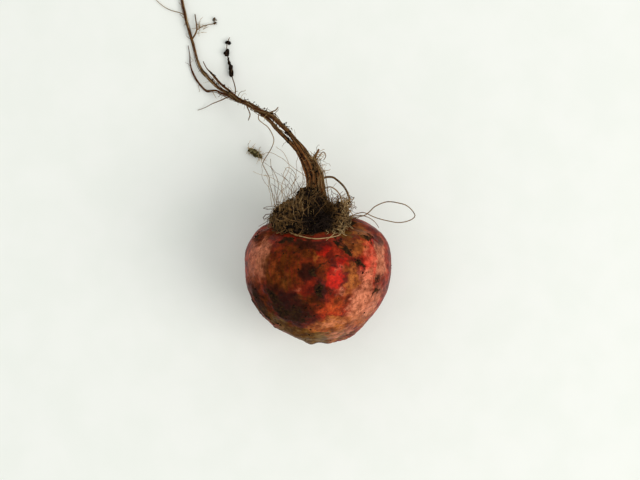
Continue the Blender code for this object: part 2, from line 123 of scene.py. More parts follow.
def skin_reach(phi, psi):
    """The distance from the body's centre to its plain skin."""
    across = np.hypot(HALF_WIDTH * np.cos(psi), HALF_DEPTH * np.sin(psi))
    root_end = phi < math.pi / 2
    along = np.where(root_end, ROOT_END_REACH, CROWN_END_REACH)
    square = np.where(root_end, ROOT_END_SQUARENESS, CROWN_END_SQUARENESS)
    plain = ((np.abs(np.cos(phi)) / along) ** square + (np.sin(phi) / across) ** square) ** (-1 / square)
    lobe = LOBE_HEIGHT * (np.cos(3 * psi + 0.6) + np.cos(2 * psi + 1.9)) * np.sin(phi) ** 2
    swellings = 0.0
    for middle, height, spread in SWELLINGS:
        apart = np.arccos(np.clip(body_direction(phi, psi) @ middle / np.linalg.norm(middle), -1.0, 1.0))
        swellings = swellings + height * bump(apart, spread)
    return plain + lobe + swellings + root_end_relief(phi, psi) + crown_relief(phi, psi)


def above_skin(phi, psi, height):
    """Points at a height above the plain skin."""
    phi, psi = np.asarray(phi, float), np.asarray(psi, float)
    return BODY_CENTRE + body_direction(phi, psi) * (skin_reach(phi, psi) + height)[..., None]


def angles_of(points):
    """phi, psi and the distance from the centre, of points in space."""
    arm = np.asarray(points, float) - BODY_CENTRE
    length = np.linalg.norm(arm, axis=-1)
    phi = np.arccos(np.clip(arm @ ALONG / length, -1.0, 1.0))
    return phi, np.arctan2(arm @ OVER, arm @ ACROSS), length


top = above_skin(np.array([math.pi / 2]), np.array([math.pi / 2]), np.zeros(1))[0]
print("the skin's top is at", np.round(top / MM, 1), "mm")

# %% [markdown]
# ## The camera
#
# The picture is taken from straight above with a long lens. The lens is given by the real scale: 640
# pixels are as wide as 640 steps of 0.548 mm at the height of the body's middle.

# %%
# A camera that looks straight down
PIXEL_AT_BODY, BODY_HEIGHT = 0.548 * MM, 38 * MM
LENS, SENSOR = 85.0, 36.0
CAMERA_PLACE = (1.9 * MM, 17.8 * MM, BODY_HEIGHT + 640 * PIXEL_AT_BODY * LENS / SENSOR)
camera_data = bpy.data.cameras.new("camera")
camera_data.lens, camera_data.sensor_width = LENS, SENSOR
camera = bpy.data.objects.new("camera", camera_data)
camera.location = CAMERA_PLACE
scene.collection.objects.link(camera)
scene.camera = camera
print("camera height in mm:", round(CAMERA_PLACE[2] / MM))

# %% [markdown]
# ## Helpers for meshes and materials
#
# A material is a small network of nodes. One function adds a node, sets its properties, fills its
# inputs and links other nodes into it, so that each material below reads like a recipe. Colours are
# picked as sRGB hex values, as in a paint program, and one function turns them to the linear values
# that Blender works with.

# %%
# Colour
def linear(hex_colour):
    values = [int(hex_colour[i:i + 2], 16) / 255 for i in (1, 3, 5)]
    return (*[v / 12.92 if v <= 0.04045 else ((v + 0.055) / 1.055) ** 2.4 for v in values], 1.0)


print("a bright red skin in linear values:", [round(v, 3) for v in linear("#cc1e0a")])

# %%
# Nodes, and a material to put them in
def fill(tree, node, **inputs):
    """Fills a node's inputs, by name or _index, with values, hex colours or the outputs of other nodes."""
    for name, value in inputs.items():
        key = int(name[1:]) if name.startswith("_") else name.replace("_", " ")
        if isinstance(value, bpy.types.NodeSocket):
            tree.links.new(value, node.inputs[key])
        elif isinstance(value, str) and value.startswith("#"):
            node.inputs[key].default_value = linear(value)
        else:
            node.inputs[key].default_value = value
    return node


def add_node(tree, kind, settings=None, **inputs):
    """Adds a node, sets its properties and fills its inputs."""
    made = tree.nodes.new(kind)
    for name, value in (settings or {}).items():
        setattr(made, name, value)
    return fill(tree, made, **inputs)


def new_material(name):
    """A material with its node tree and its Principled shader, ready to be wired."""
    material = bpy.data.materials.new(name)
    material.use_nodes = True
    return material, material.node_tree, material.node_tree.nodes["Principled BSDF"]


# %%
# Steps that the recipes share
def calculate(tree, operation, a, b):
    return add_node(tree, "ShaderNodeMath", {"operation": operation}, _0=a, _1=b).outputs[0]


def times(tree, a, b):
    return calculate(tree, "MULTIPLY", a, b)


def plus(tree, a, b):
    return calculate(tree, "ADD", a, b)


def blend(tree, share, first, second, how="MIX"):
    """Mixes two colours by a share."""
    made = add_node(tree, "ShaderNodeMix", {"data_type": "RGBA", "blend_type": how},
                    _0=share, _6=first, _7=second)
    return made.outputs[2]


def cover_with(tree, colour, over, share, most):
    """Lays a colour over another by a share, and hides at most so much of it."""
    return blend(tree, times(tree, share, most), colour, over)


def ramp(tree, value, low, high):
    """0 below low, 1 above high, smooth between."""
    made = add_node(tree, "ShaderNodeMapRange", {"interpolation_type": "SMOOTHSTEP"},
                    Value=value, From_Min=low, From_Max=high)
    return made.outputs[0]


def cloud(tree, place, size, detail=3.0, roughness=0.55):
    """Soft noise from 0 to 1 whose patches are about size metres across."""
    made = add_node(tree, "ShaderNodeTexNoise", Vector=place, Scale=1.0 / size, Detail=detail,
                    Roughness=roughness)
    return made.outputs[0]


def bumped(tree, height, strength, distance):
    """A normal tilted by a height, for relief that is too fine to model."""
    return add_node(tree, "ShaderNodeBump", Height=height, Strength=strength, Distance=distance).outputs[0]


def here(tree):
    return add_node(tree, "ShaderNodeTexCoord").outputs["Object"]


def attribute(tree, name):
    return add_node(tree, "ShaderNodeAttribute", {"attribute_name": name}).outputs["Fac"]


# %%
# Mesh helpers
def signed_volume(points, faces):
    """Above 0 where the faces of a closed shell point outwards."""
    fans = [(face[0], face[i], face[i + 1]) for face in faces for i in range(1, len(face) - 1)]
    a, b, c = (points[np.array(fans)[:, k]] for k in range(3))
    return (a * np.cross(b, c)).sum() / 6


def add_mesh(name, points, faces, material, attributes=None):
    """A smooth closed mesh object that faces outwards, and any point values as attributes."""
    if signed_volume(points, faces) < 0:
        faces = [tuple(reversed(face)) for face in faces]
    mesh = bpy.data.meshes.new(name)
    mesh.from_pydata([tuple(p) for p in points], [], faces)
    for key, values in (attributes or {}).items():
        layer = mesh.attributes.new(key, "FLOAT", "POINT")
        layer.data.foreach_set("value", np.asarray(values, np.float32))
    mesh.materials.append(material)
    mesh.shade_smooth()
    made = bpy.data.objects.new(name, mesh)
    scene.collection.objects.link(made)
    return made


def wrapped_grid(rings, turns):
    """Faces of a tube of rings, with its two ends closed by a fan to a point each."""
    faces = []
    for i in range(rings - 1):
        for j in range(turns):
            k = (j + 1) % turns
            faces.append((i * turns + j, (i + 1) * turns + j, (i + 1) * turns + k, i * turns + k))
    first_pole, last_pole = rings * turns, rings * turns + 1
    last = (rings - 1) * turns
    for j in range(turns):
        k = (j + 1) % turns
        faces.append((first_pole, j, k))
        faces.append((last_pole, last + k, last + j))
    return faces


def clouds(points, size, octaves=4):
    """Fractal noise from about -1 to 1 at each point, with patches of about size metres."""
    return np.array([noise.fractal(Vector(p / size), 1.0, 2.0, octaves) for p in points])


# %% [markdown]
# ## Where the soil lies on the skin
#
# A dug root isn't one colour. Clean skin shows bright red, rubbed skin turns pink, and soil lies on it
# as a thin film, as thick mud and as pressed-in crumbs. These lie in patches that nobody could get
# from noise alone, so the large ones are given one by one, each as an oval in millimetres seen from
# above, and noise only frays their edges and fills the sides and the underside. Some pale pink patches
# are painted highlights on the lit right side and at the bottom, and some dark patches are painted
# shade along the rim and over the lower left. The patches write point values on the mesh, one for
# each kind. The relief and the colours read the same values, so a thick patch of mud really stands
# out. Soil is thickest round the tap root, where roots hold it. At the crown a corky scar with a dark
# rim marks where the leaves grew.

# %%
# Patches of each kind: centre x and y in mm, half length, half width, turn in degrees, strength
PATCHES = {
    "bare": [
        (3, 12, 5.4, 3.2, 35, 0.75), (9.2, -1.4, 6, 4.8, 60, 1), (27.6, 9, 9.5, 4.4, 95, 0.95),
        (27.5, 0, 6, 4, 90, 0.8), (14, 5, 3.4, 2.6, 0, 0.7), (9.5, -18.5, 9, 5.5, 10, 0.5),
        (-27, -2, 6, 3, 90, 0.25),
    ],
    # pale: rubbed pink skin, and painted highlights on the lit right side and at the bottom
    "pale": [
        (28, 8, 9, 4.2, 95, 0.45), (-33.5, 7, 12, 3.8, 84, 0.65), (-28.5, 8.5, 12, 3.6, 82, 0.85),
        (26.5, -4, 8, 4.4, 85, 0.8), (22.5, -15, 11, 6, 62, 0.9), (13.6, 3.4, 2.4, 1.6, 0, 0.45),
        (13, -8.8, 3, 1.8, 0, 0.6), (-8.8, -8.6, 3.4, 2, 30, 0.4), (34, 8, 11, 3.4, 92, 0.85),
        (8.5, -27, 8, 2.6, 8, 0.6), (29.5, -16, 10, 3.6, 62, 0.75), (14.5, -32.5, 9, 2.6, 25, 0.7),
    ],
    "ochre": [
        (-1.6, 8.8, 2.4, 1.8, 0, 0.7), (19, -2.5, 8.5, 3.8, 82, 0.9), (8.5, -27, 10, 4.4, 6, 1),
        (-2.6, -31, 6.5, 4, 0, 0.8), (-8, -13.8, 3.4, 2.8, 60, 0.5), (20, -24, 6, 4, 40, 0.7),
        (10, -17.5, 8, 5, 20, 0.45), (20, 14, 7, 5, -10, 0.7), (-23, 1, 8, 4, 80, 0.35),
        (26, -24, 8, 3.2, 50, 0.7), (22.5, 23.5, 8, 4.5, -38, 0.65), (4, -35.5, 12, 3.6, 0, 0.75),
    ],
    "olive": [
        (-1.5, -36.5, 10, 4.5, 0, 0.95), (-22, -24.5, 9, 3, -38, 0.9), (-9, -30, 7, 2.6, -20, 0.7),
        (12, -31.5, 8, 2, 15, 0.5), (14.5, 21, 6, 3, -15, 0.8), (-16, -4, 4, 7, 0, 0.45),
        (24, 21.5, 6, 3, -38, 0.5), (-27.5, -22, 8, 3, -45, 0.75), (15, -34.5, 9, 1.8, 25, 0.6),
        (-13, -31.5, 10, 3.4, -25, 0.95),
    ],
    "film": [
        (-18.5, 2.5, 13, 13, 80, 1), (-10, 12, 12, 6, 0, 1), (-3, -16, 7, 6, 0, 0.9),
        (13, -12.5, 5, 3.6, 30, 0.6), (17, 15.5, 6, 4, -20, 0.7), (-1, 3, 8, 6, 0, 0.75),
        (-33, -6, 8, 4, 100, 0.7), (17, 4, 4, 3, 100, 0.5), (-27, 20, 8, 4, 30, 0.8),
        (-29, -17, 10, 5, -55, 1), (-10, -31, 12, 3.6, -20, 0.8),
    ],
    # dark: dark soil spots, and painted shade along the body's rim and over its lower left
    "dark": [
        (-14, -17.5, 14, 8.5, -38, 1), (-23, -9, 7, 5, -60, 0.7), (1.2, -8.5, 7, 4.8, 80, 0.9),
        (-4, 15, 14, 3, 0, 0.7), (-4, 0.5, 6.5, 4.6, 30, 0.95), (-4, -24, 7, 4, -10, 0.7),
        (33, -7, 9, 2, 75, 0.5), (33, 17.5, 6, 1.8, -55, 0.7), (-34, -9, 8, 2.4, -70, 0.45),
        (-31, 20, 6, 3, 40, 0.4), (-31.5, -14.5, 10, 2.6, -60, 0.85),
    ],
    "mud": [
        (-2.2, -0.6, 3, 2.6, 90, 1), (1.2, -8.6, 4.4, 2.6, 80, 0.8), (7, -8.8, 2, 1.8, 0, 0.7),
        (-21, -15, 9, 4, -55, 0.75), (-10.5, -21.5, 8, 4, -25, 0.75), (2.2, 3.6, 3.6, 1.3, 30, 0.8),
        (8, 7, 4.4, 1.3, 25, 0.75), (11, 16.8, 3.4, 1.8, -45, 1), (16, 12.4, 4, 2, -42, 1),
        (21.4, 6, 4.2, 1.7, -58, 1), (24.4, 1.4, 2.6, 1.2, -60, 0.7), (34, -2.6, 3, 1.3, 70, 0.65),
        (30.2, -11, 4.4, 1.3, 62, 0.75), (-32, 18.5, 3, 1.3, 50, 0.8), (-32.5, -12, 5, 1.5, -65, 0.55),
        (27.5, 18.5, 5, 1.8, -40, 0.8), (-14, 17, 9, 2.2, 0, 0.8), (-24, -25, 6, 1.6, -40, 0.7),
    ],
}

# What noise alone does on the sides and underneath: a shift of the noise, its size in mm, its level
WILD = {"bare": (0.3, 16, 0.15), "pale": (0.5, 20, 0.2), "ochre": (0.7, 18, 0.3), "olive": (0.2, 17, 0.3),
        "film": (0.9, 15, -0.2), "dark": (0.4, 19, 0.1), "mud": (1.1, 13, 0.2)}


def patch_values(points):
    """Each kind's value at points on the skin, from the patches and, where they end, from noise."""
    shifts = (0.0, 0.031)
    fray = np.stack([clouds(points + shift, 7 * MM, 4) for shift in shifts], axis=-1) * 2.4 * MM
    fray += np.stack([clouds(points + shift, 2.6 * MM, 3) for shift in shifts], axis=-1) * 1.9 * MM
    middle = BODY_CENTRE[:2]
    below = np.clip((BODY_CENTRE[2] - points[:, 2]) / (40 * MM), 0.0, 1.0)
    seen = middle + (points[:, :2] - middle) * (1.0 + 0.7 * below)[:, None] + fray
    upper = smooth_step((points[:, 2] - BODY_CENTRE[2] + 20 * MM) / (14 * MM))
    values = {kind: np.zeros(len(points)) for kind in PATCHES}
    ovals = [(kind, *oval) for kind, group in PATCHES.items() for oval in group]
    for kind, x, y, length, width, turn, strength in ovals:
        c, s = math.cos(math.radians(turn)), math.sin(math.radians(turn))
        dx, dy = seen[:, 0] - x * MM, seen[:, 1] - y * MM
        away = np.hypot((dx * c + dy * s) / (length * MM), (dy * c - dx * s) / (width * MM))
        near = strength * upper * smooth_step(1.5 - 1.05 * away)
        values[kind] = np.maximum(values[kind], near)
    for kind, (shift, size, level) in WILD.items():
        wild = smooth_step((clouds(points + shift, size * MM, 5) - level) / 0.35)
        values[kind] = np.maximum(values[kind], (1.0 - upper) * wild)
    phi = angles_of(points)[0]
    values["ochre"] = np.maximum(values["ochre"], bump(math.pi - phi, 0.13))
    values["dark"] = np.maximum(values["dark"], 0.9 * bump(math.pi - phi - 0.21, 0.05))
    near_root = smooth_step((0.92 - phi) / 0.30)
    values["film"] = np.maximum(values["film"], near_root)
    clotted = smooth_step((clouds(points + 0.6, 5 * MM, 4) + 0.15) / 0.3)
    values["mud"] = np.maximum(values["mud"], near_root * clotted)
    return values


print(sum(len(group) for group in PATCHES.values()), "patches of", len(PATCHES), "kinds")

# %% [markdown]
# ## The skin
#
# The skin of a storage root is a thin cork layer over firm flesh. It is smooth to the touch where it is
# clean, with short cross-wise marks, and it wrinkles at the crown. A fine grid of rings takes the
# body's formula, and then small amounts are added outwards: soft lumps, marks, wrinkles, and the
# thickness of the mud. The spot it rests on is pressed flat.

# %%
# A fine grid of the body with its relief
SKIN_RINGS, SKIN_TURNS = 240, 320
LUMP_HEIGHT, MARK_DEPTH, WRINKLE_HEIGHT = 0.45 * MM, 0.12 * MM, 0.14 * MM
MUD_HEIGHT, FILM_HEIGHT = 0.55 * MM, 0.12 * MM


def skin_relief(points, phi, values):
    """How far each point stands out of the plain shape."""
    from_crown = math.pi - phi
    lumps = LUMP_HEIGHT * clouds(points, 11 * MM, 3)
    along = (points - BODY_CENTRE) @ ALONG
    sideways = (points - BODY_CENTRE) - along[:, None] * ALONG
    marks = clouds(along[:, None] * ALONG / 0.16 + sideways, 7 * MM, 3)
    wrinkles = np.sin(from_crown * 95 + 3.0 * clouds(points + 0.2, 6 * MM, 3))
    crust = 0.7 + 0.9 * clouds(points, 1.9 * MM, 3)
    relief = lumps - MARK_DEPTH * smooth_step((marks - 0.25) / 0.3)
    relief += WRINKLE_HEIGHT * wrinkles * bump(from_crown, 0.62)
    relief += MUD_HEIGHT * values["mud"] * crust + FILM_HEIGHT * values["film"] * crust
    return relief


phi = np.repeat(np.linspace(0, math.pi, SKIN_RINGS + 2)[1:-1], SKIN_TURNS)
psi = np.tile(np.linspace(0, math.tau, SKIN_TURNS, endpoint=False), SKIN_RINGS)
phi, psi = np.append(phi, [0.0, math.pi]), np.append(psi, [0.0, 0.0])
skin_points = above_skin(phi, psi, np.zeros(len(phi)))
skin_values = patch_values(skin_points)
skin_points = above_skin(phi, psi, skin_relief(skin_points, phi, skin_values))
skin_points[:, 2] = np.maximum(skin_points[:, 2], 0.0)
print(len(skin_points), "points on the skin")

# %% [markdown]
# ### Its finish
#
# The material starts from clean skin: a red that noise moves between deep and bright, with pink where
# it is rubbed and as painted highlight on the lit right side and at the bottom, and ochre near the
# crown. Over it comes the film of dried soil water, which runs in streaks from root end to crown and
# lets the red through, then dark soil, part of it painted shade along the rim and on the lower left,
# and over that the mud. Clean skin has a low sheen, mud has none. Grains of 0.3 to 1 mm are too fine
# to model, so a bump gives them.

# %%
# Red cork skin under soil
def skin_material():
    material, tree, shader = new_material("red_cork_skin_with_dried_soil")
    place = here(tree)
    turned = add_node(tree, "ShaderNodeMapping", Vector=place, Rotation=(-AXIS_TILT, 0, 0),
                      Scale=(1, 0.16, 1))
    streaks = cloud(tree, turned.outputs[0], 2.2 * MM, 4, 0.6)
    patchy = cloud(tree, place, 6 * MM, 4, 0.6)
    fine = cloud(tree, place, 1.1 * MM, 4, 0.65)
    grain = cloud(tree, place, 0.45 * MM, 2, 0.6)
    shake = plus(tree, times(tree, fine, 0.5), plus(tree, patchy, -0.75))

    def frayed(name, low=0.15, high=0.85, amount=0.8):
        """A patch value, with its edge broken up by the two noises."""
        return ramp(tree, plus(tree, attribute(tree, name), times(tree, shake, amount)), low, high)

    colour = blend(tree, ramp(tree, patchy, 0.35, 0.65), "#6a1806", "#a42e12")
    colour = cover_with(tree, colour, "#cc1e0a", frayed("bare"), 1.0)
    colour = cover_with(tree, colour, "#b8682a", frayed("ochre", 0.05, 1.05), 0.95)
    # Pink of rubbed skin, and painted highlight on the lit right side and at the bottom
    colour = cover_with(tree, colour, "#e28a66", frayed("pale", 0.0, 1.15), 0.95)
    colour = cover_with(tree, colour, "#6c5218", frayed("olive"), 0.88)
    film = times(tree, frayed("film", 0.0, 1.05), ramp(tree, streaks, 0.15, 0.62))
    colour = cover_with(tree, colour, "#583008", film, 0.82)
    # Dark soil, and painted shade along the rim and on the lower left
    colour = cover_with(tree, colour, "#1e0803", frayed("dark", 0.05, 1.0), 0.88)
    mottle = blend(tree, ramp(tree, cloud(tree, place, 3.2 * MM, 3, 0.6), 0.3, 0.7), "#94785e", "#ffffff")
    colour = blend(tree, 0.85, colour, mottle, "MULTIPLY")
    mud = frayed("mud", 0.35, 0.9, 1.5)
    colour = blend(tree, mud, colour, blend(tree, ramp(tree, fine, 0.4, 0.65), "#120a05", "#38240f"))
    specks = ramp(tree, cloud(tree, place, 0.9 * MM, 1), 0.60, 0.68)
    colour = cover_with(tree, colour, "#2c1a10", specks, 0.6)

    cover = calculate(tree, "MAXIMUM", film, mud)
    rough = add_node(tree, "ShaderNodeMapRange", Value=cover, To_Min=0.42, To_Max=0.95).outputs[0]
    height = plus(tree, times(tree, fine, 0.5), times(tree, grain, cover))
    fill(tree, shader, Base_Color=colour, Specular_IOR_Level=0.08, IOR=1.45, Roughness=rough,
         Normal=bumped(tree, height, 0.5, 0.35 * MM))
    return material


skin_finish = skin_material()
skin = add_mesh("skin", skin_points, wrapped_grid(SKIN_RINGS, SKIN_TURNS), skin_finish, skin_values)
print("skin box in mm:", np.round((skin_points.max(0) - skin_points.min(0)) / MM, 1))

# %% [markdown]
# ## The strands of the tap root
#
# The tap root leaves the dimple as a bundle of three long strands and a short one, twisted round each
# other, and thins out to a thread. Each strand follows listed points, which are the same as in the
# solid model, joined by a smooth curve. A strand's skin is swept along its curve ring by ring. Its
# rings aren't round: cork ridges run lengthways and wind slowly round it, and knots thicken it.

# %%
# The strands' routes in mm, from base to tip
MAIN_STRAND = [
    (-0.2, 25.5, 43.5), (-1.4, 42.8, 45.2), (-2.1, 55.4, 44.0), (-9.2, 67.5, 40.0), (-14.9, 76.8, 35.0),
    (-21.5, 83.6, 30.0), (-34.7, 92.7, 21.0), (-47.3, 99.1, 12.0), (-56.5, 105.2, 6.5), (-66.7, 117.0, 2.6),
    (-70.7, 129.5, 1.6), (-75.4, 145.6, 1.4), (-77.3, 155.1, 1.2), (-79.2, 168.5, 1.1), (-78.2, 181.5, 1.0),
    (-82.7, 192.5, 0.9)]
TWIN_STRAND = [
    (-3.2, 25.0, 42.5), (-3.4, 40.5, 43.5), (-4.4, 54.5, 42.5), (-9.7, 66.0, 38.5), (-18.2, 75.5, 33.5),
    (-25.4, 83.3, 29.0), (-31.7, 89.5, 24.0), (-41.2, 95.3, 17.5), (-51.7, 103.8, 11.0), (-57.7, 110.5, 7.5),
    (-62.2, 115.5, 5.0), (-64.7, 119.5, 4.5)]
OUTER_STRAND = [
    (4.8, 25.5, 42.5), (3.3, 40.5, 44.0), (0.6, 54.5, 42.5), (-5.7, 64.5, 40.0), (-14.2, 75.5, 36.2),
    (-23.7, 86.0, 30.0), (-34.2, 91.5, 22.8), (-46.7, 97.3, 13.5), (-57.2, 102.8, 5.5), (-63.2, 103.3, 2.2),
    (-68.0, 108.3, 1.2), (-71.7, 115.0, 0.9), (-72.7, 123.5, 0.9), (-73.7, 129.0, 0.8)]
SHORT_STRAND = [
    (2.3, 24.5, 46.0), (3.8, 38.5, 48.5), (2.0, 52.5, 48.0), (-0.7, 62.5, 46.2), (1.3, 67.0, 46.2)]

# Each strand: radius at its base in mm, sides, route. All thin out alike: the share of that radius
# which is left at a distance in mm from the base. The last part of each comes to a fine tip.
STRANDS = {
    "main": (2.9, 30, MAIN_STRAND), "twin": (2.5, 26, TWIN_STRAND),
    "outer": (2.5, 26, OUTER_STRAND), "short": (2.1, 24, SHORT_STRAND)}
TAPER_AT, TAPER_SHARE = (0, 28, 50, 100, 200), (1.0, 0.93, 0.45, 0.25, 0.18)
TIP_LENGTH, TIP_SHARE = 22.0, 0.35
STRAND_STEP, RING_STEP = 4.2 * MM, 0.55 * MM
KINK_SEED, KINK_SIZE, KINK_HEIGHT = 3, 9 * MM, 0.6 * MM

# Shares of a strand's radius: the plain core, and how far knots, both sets of ridges and warts stand out
CORE, KNOTS, FIVE_RIDGES, EIGHT_RIDGES, WARTS = 0.92, 0.10, 0.11, 0.07, 0.10

# %%
# Curves through points, and rings swept along them
def smooth_route(corners, step):
    """Points at about even steps along a smooth curve through the corners."""
    points = np.asarray(corners, float)
    ends = np.vstack([2 * points[0] - points[1], points, 2 * points[-1] - points[-2]])
    stretches = []
    for a, b, c, d in zip(ends, ends[1:], ends[2:], ends[3:]):
        count = max(1, round(np.linalg.norm(c - b) / step))
        t = (np.arange(count) / count)[:, None]
        bend = (3 * b - a - 3 * c + d) * t + (2 * a - 5 * b + 4 * c - d)
        stretches.append(b + 0.5 * t * (c - a + t * bend))
    return np.vstack([*stretches, points[-1:]])


def kinked(route):
    """Moves each point but the first a little, by its place, as the solid model does."""
    moved = route.copy()
    for i in range(1, len(route)):
        moved[i] += KINK_HEIGHT * np.array(noise.noise_vector(Vector(route[i] / KINK_SIZE)))
    return moved


def clear_of_body(points, radius):
    """Moves points out of the body and up off the floor, so that a root of that radius lies on them."""
    phi, psi, length = angles_of(points)
    nearest = skin_reach(phi, psi) + radius
    arm = points - BODY_CENTRE
    out = BODY_CENTRE + arm * np.maximum(1.0, nearest / length)[:, None]
    out[:, 2] = np.maximum(out[:, 2], radius + 0.1 * MM)
    return out


def ring_directions(route):
    """Two directions across the route at each point, which turn as little as they can along it."""
    ahead = np.gradient(route, axis=0)
    ahead /= np.linalg.norm(ahead, axis=1)[:, None]
    side = np.cross(ahead[0], (0.0, 0.0, 1.0))
    sides = []
    for direction in ahead:
        side = side - (side @ direction) * direction
        side = side / np.linalg.norm(side)
        sides.append(side)
    sides = np.array(sides)
    return sides, np.cross(ahead, sides)


def lengths_along(route):
    return np.concatenate([[0.0], np.cumsum(np.linalg.norm(np.diff(route, axis=0), axis=1))])


def strand_radius(start, route):
    run = lengths_along(route) / MM
    tip = TIP_SHARE + (1.0 - TIP_SHARE) * smooth_step((run[-1] - run) / TIP_LENGTH)
    return start * MM * np.interp(run, TAPER_AT, TAPER_SHARE) * tip


# %%
# Sweep each strand with its ridges and knots
noise.seed_set(KINK_SEED)
strand_lines = {}
strand_points, strand_faces = [], []
strand_values = {"tone": [], "ring_x": [], "ring_y": [], "along": []}
for name, (start, sides, corners) in STRANDS.items():
    rough_route = kinked(smooth_route(np.array(corners) * MM, STRAND_STEP))
    route = smooth_route(clear_of_body(rough_route, strand_radius(start, rough_route)), RING_STEP)
    run, radius = lengths_along(route), strand_radius(start, route)
    strand_lines[name] = (route, radius)
    across, over = ring_directions(route)
    turn = np.linspace(0, math.tau, sides, endpoint=False)
    knots = KNOTS * clouds(route, 5 * MM, 2)[:, None]
    wind = run[:, None] / MM
    ridges = FIVE_RIDGES * np.sin(5 * turn + 0.10 * wind)
    ridges = ridges + EIGHT_RIDGES * np.sin(8 * turn - 0.17 * wind + 1.0)
    plain = route[:, None] + radius[:, None, None] * (
        np.cos(turn)[None, :, None] * across[:, None] + np.sin(turn)[None, :, None] * over[:, None])
    warts = WARTS * clouds(plain.reshape(-1, 3), 1.6 * MM, 3).reshape(len(route), sides)
    swell = CORE * (1.0 + knots + ridges + warts)
    surface = route[:, None] + (plain - route[:, None]) * swell[..., None]
    surface[..., 2] = np.maximum(surface[..., 2], 0.05 * MM)
    base = sum(len(block) for block in strand_points)
    strand_points.append(np.vstack([surface.reshape(-1, 3), route[:1], route[-1:]]))
    strand_faces += [tuple(base + k for k in face) for face in wrapped_grid(len(route), sides)]
    values = {"tone": 0.5 + 2.2 * (ridges + warts), "ring_x": np.cos(turn) + 0 * wind,
              "ring_y": np.sin(turn) + 0 * wind, "along": wind + 0 * turn}
    for key, block in values.items():
        strand_values[key].append(np.append(block.ravel(), [0.5, 0.5]))
    print(name, "is", round(run[-1] / MM), "mm long")
strand_points = np.vstack(strand_points)
strand_values = {key: np.concatenate(blocks) for key, blocks in strand_values.items()}

# %% [markdown]
# ### Their finish
#
# Old root bark is cork: matt, dark brown in its grooves and a rusty tan on its ridges, where the dark
# layer has worn off. Farther out it is younger, redder and darker. The ridge heights were kept as the
# point value `tone`, and three more values say where a point is round the strand and along it, so that
# the fine fibres of the pattern run lengthways however the strand bends.

# %%
# Brown corky bark
def bark_material():
    material, tree, shader = new_material("brown_corky_root_bark")
    along = attribute(tree, "along")
    lengthways = add_node(tree, "ShaderNodeCombineXYZ", X=attribute(tree, "ring_x"),
                          Y=attribute(tree, "ring_y"), Z=times(tree, along, 0.14)).outputs[0]
    fibres = cloud(tree, lengthways, 0.22, 4, 0.6)
    patchy = cloud(tree, here(tree), 7 * MM, 3)
    tone = plus(tree, attribute(tree, "tone"), plus(tree, fibres, -0.5))
    colour = blend(tree, ramp(tree, tone, 0.2, 0.8), "#2a150b", "#7e4f2a")
    colour = cover_with(tree, colour, "#c49a62", ramp(tree, tone, 0.7, 1.15), 0.8)
    colour = cover_with(tree, colour, "#20120a", ramp(tree, patchy, 0.52, 0.72), 0.6)
    colour = cover_with(tree, colour, "#3a150e", ramp(tree, along, 45.0, 90.0), 0.6)
    fill(tree, shader, Base_Color=colour, Specular_IOR_Level=0.06, Roughness=0.85,
         Normal=bumped(tree, fibres, 0.7, 0.4 * MM))
    return material


bark_finish = bark_material()
strands = add_mesh("tap_root_strands", strand_points, strand_faces, bark_finish, strand_values)

# %% [markdown]
# ## Thin roots, by Geometry Nodes
#
# Hundreds of thin roots follow lines in space, so they are made by one Geometry Nodes tree. Its input
# is a mesh of nothing but edges: each chain of edges is one root's line, and two point values on it
# say how thick the root is there and how pale. The tree turns the chains to curves, gives each its
# thickness, sweeps a small ring along them and closes the ends. Sides and a scale for the thickness are
# named inputs.

# %%
# The tree that turns lines to thin roots
def new_group(name, inputs):
    """A Geometry Nodes tree with named inputs, and its ends."""
    group = bpy.data.node_groups.new(name, "GeometryNodeTree")
    group.interface.new_socket("Geometry", in_out="INPUT", socket_type="NodeSocketGeometry")
    for label, kind, value in inputs:
        socket = group.interface.new_socket(label, in_out="INPUT", socket_type=kind)
        if value is not None:
            socket.default_value = value
    group.interface.new_socket("Geometry", in_out="OUTPUT", socket_type="NodeSocketGeometry")
    return group, add_node(group, "NodeGroupInput").outputs


def end_group(group, shape, material):
    """Every tree ends in real geometry with its material."""
    real = add_node(group, "GeometryNodeRealizeInstances", Geometry=shape).outputs[0]
    painted = add_node(group, "GeometryNodeSetMaterial", Geometry=real, Material=material).outputs[0]
    add_node(group, "NodeGroupOutput", _0=painted)


def thin_root_tree():
    group, given = new_group("thin_roots", [
        ("Sides", "NodeSocketInt", 5), ("Thickness scale", "NodeSocketFloat", 1.0),
        ("Material", "NodeSocketMaterial", None)])
    lines = add_node(group, "GeometryNodeMeshToCurve", Mesh=given["Geometry"]).outputs[0]
    stored = add_node(group, "GeometryNodeInputNamedAttribute", {"data_type": "FLOAT"}, Name="thickness")
    scaled = times(group, stored.outputs[0], given["Thickness scale"])
    ring = add_node(group, "GeometryNodeCurvePrimitiveCircle", Resolution=given["Sides"], Radius=1.0)
    tubes = add_node(group, "GeometryNodeCurveToMesh", Curve=lines, Profile_Curve=ring.outputs[0],
                     Scale=scaled, Fill_Caps=True).outputs[0]
    smooth = add_node(group, "GeometryNodeSetShadeSmooth", Geometry=tubes).outputs[0]
    end_group(group, smooth, given["Material"])
    return group


THIN_ROOTS = thin_root_tree()


def grown(source, group, **inputs):
    """Puts a tree on an object, sets its inputs by identifier and keeps the result as a plain mesh."""
    modifier = source.modifiers.new("grow", "NODES")
    modifier.node_group = group
    sockets = {item.name: item.identifier for item in group.interface.items_tree if item.in_out == "INPUT"}
    for label, value in inputs.items():
        modifier[sockets[label.replace("_", " ")]] = value
    bpy.context.view_layer.update()
    graph = bpy.context.evaluated_depsgraph_get()
    result = bpy.data.meshes.new_from_object(source.evaluated_get(graph))
    made = bpy.data.objects.new(source.name + "_made", result)
    scene.collection.objects.link(made)
    bpy.data.objects.remove(source)
    return made


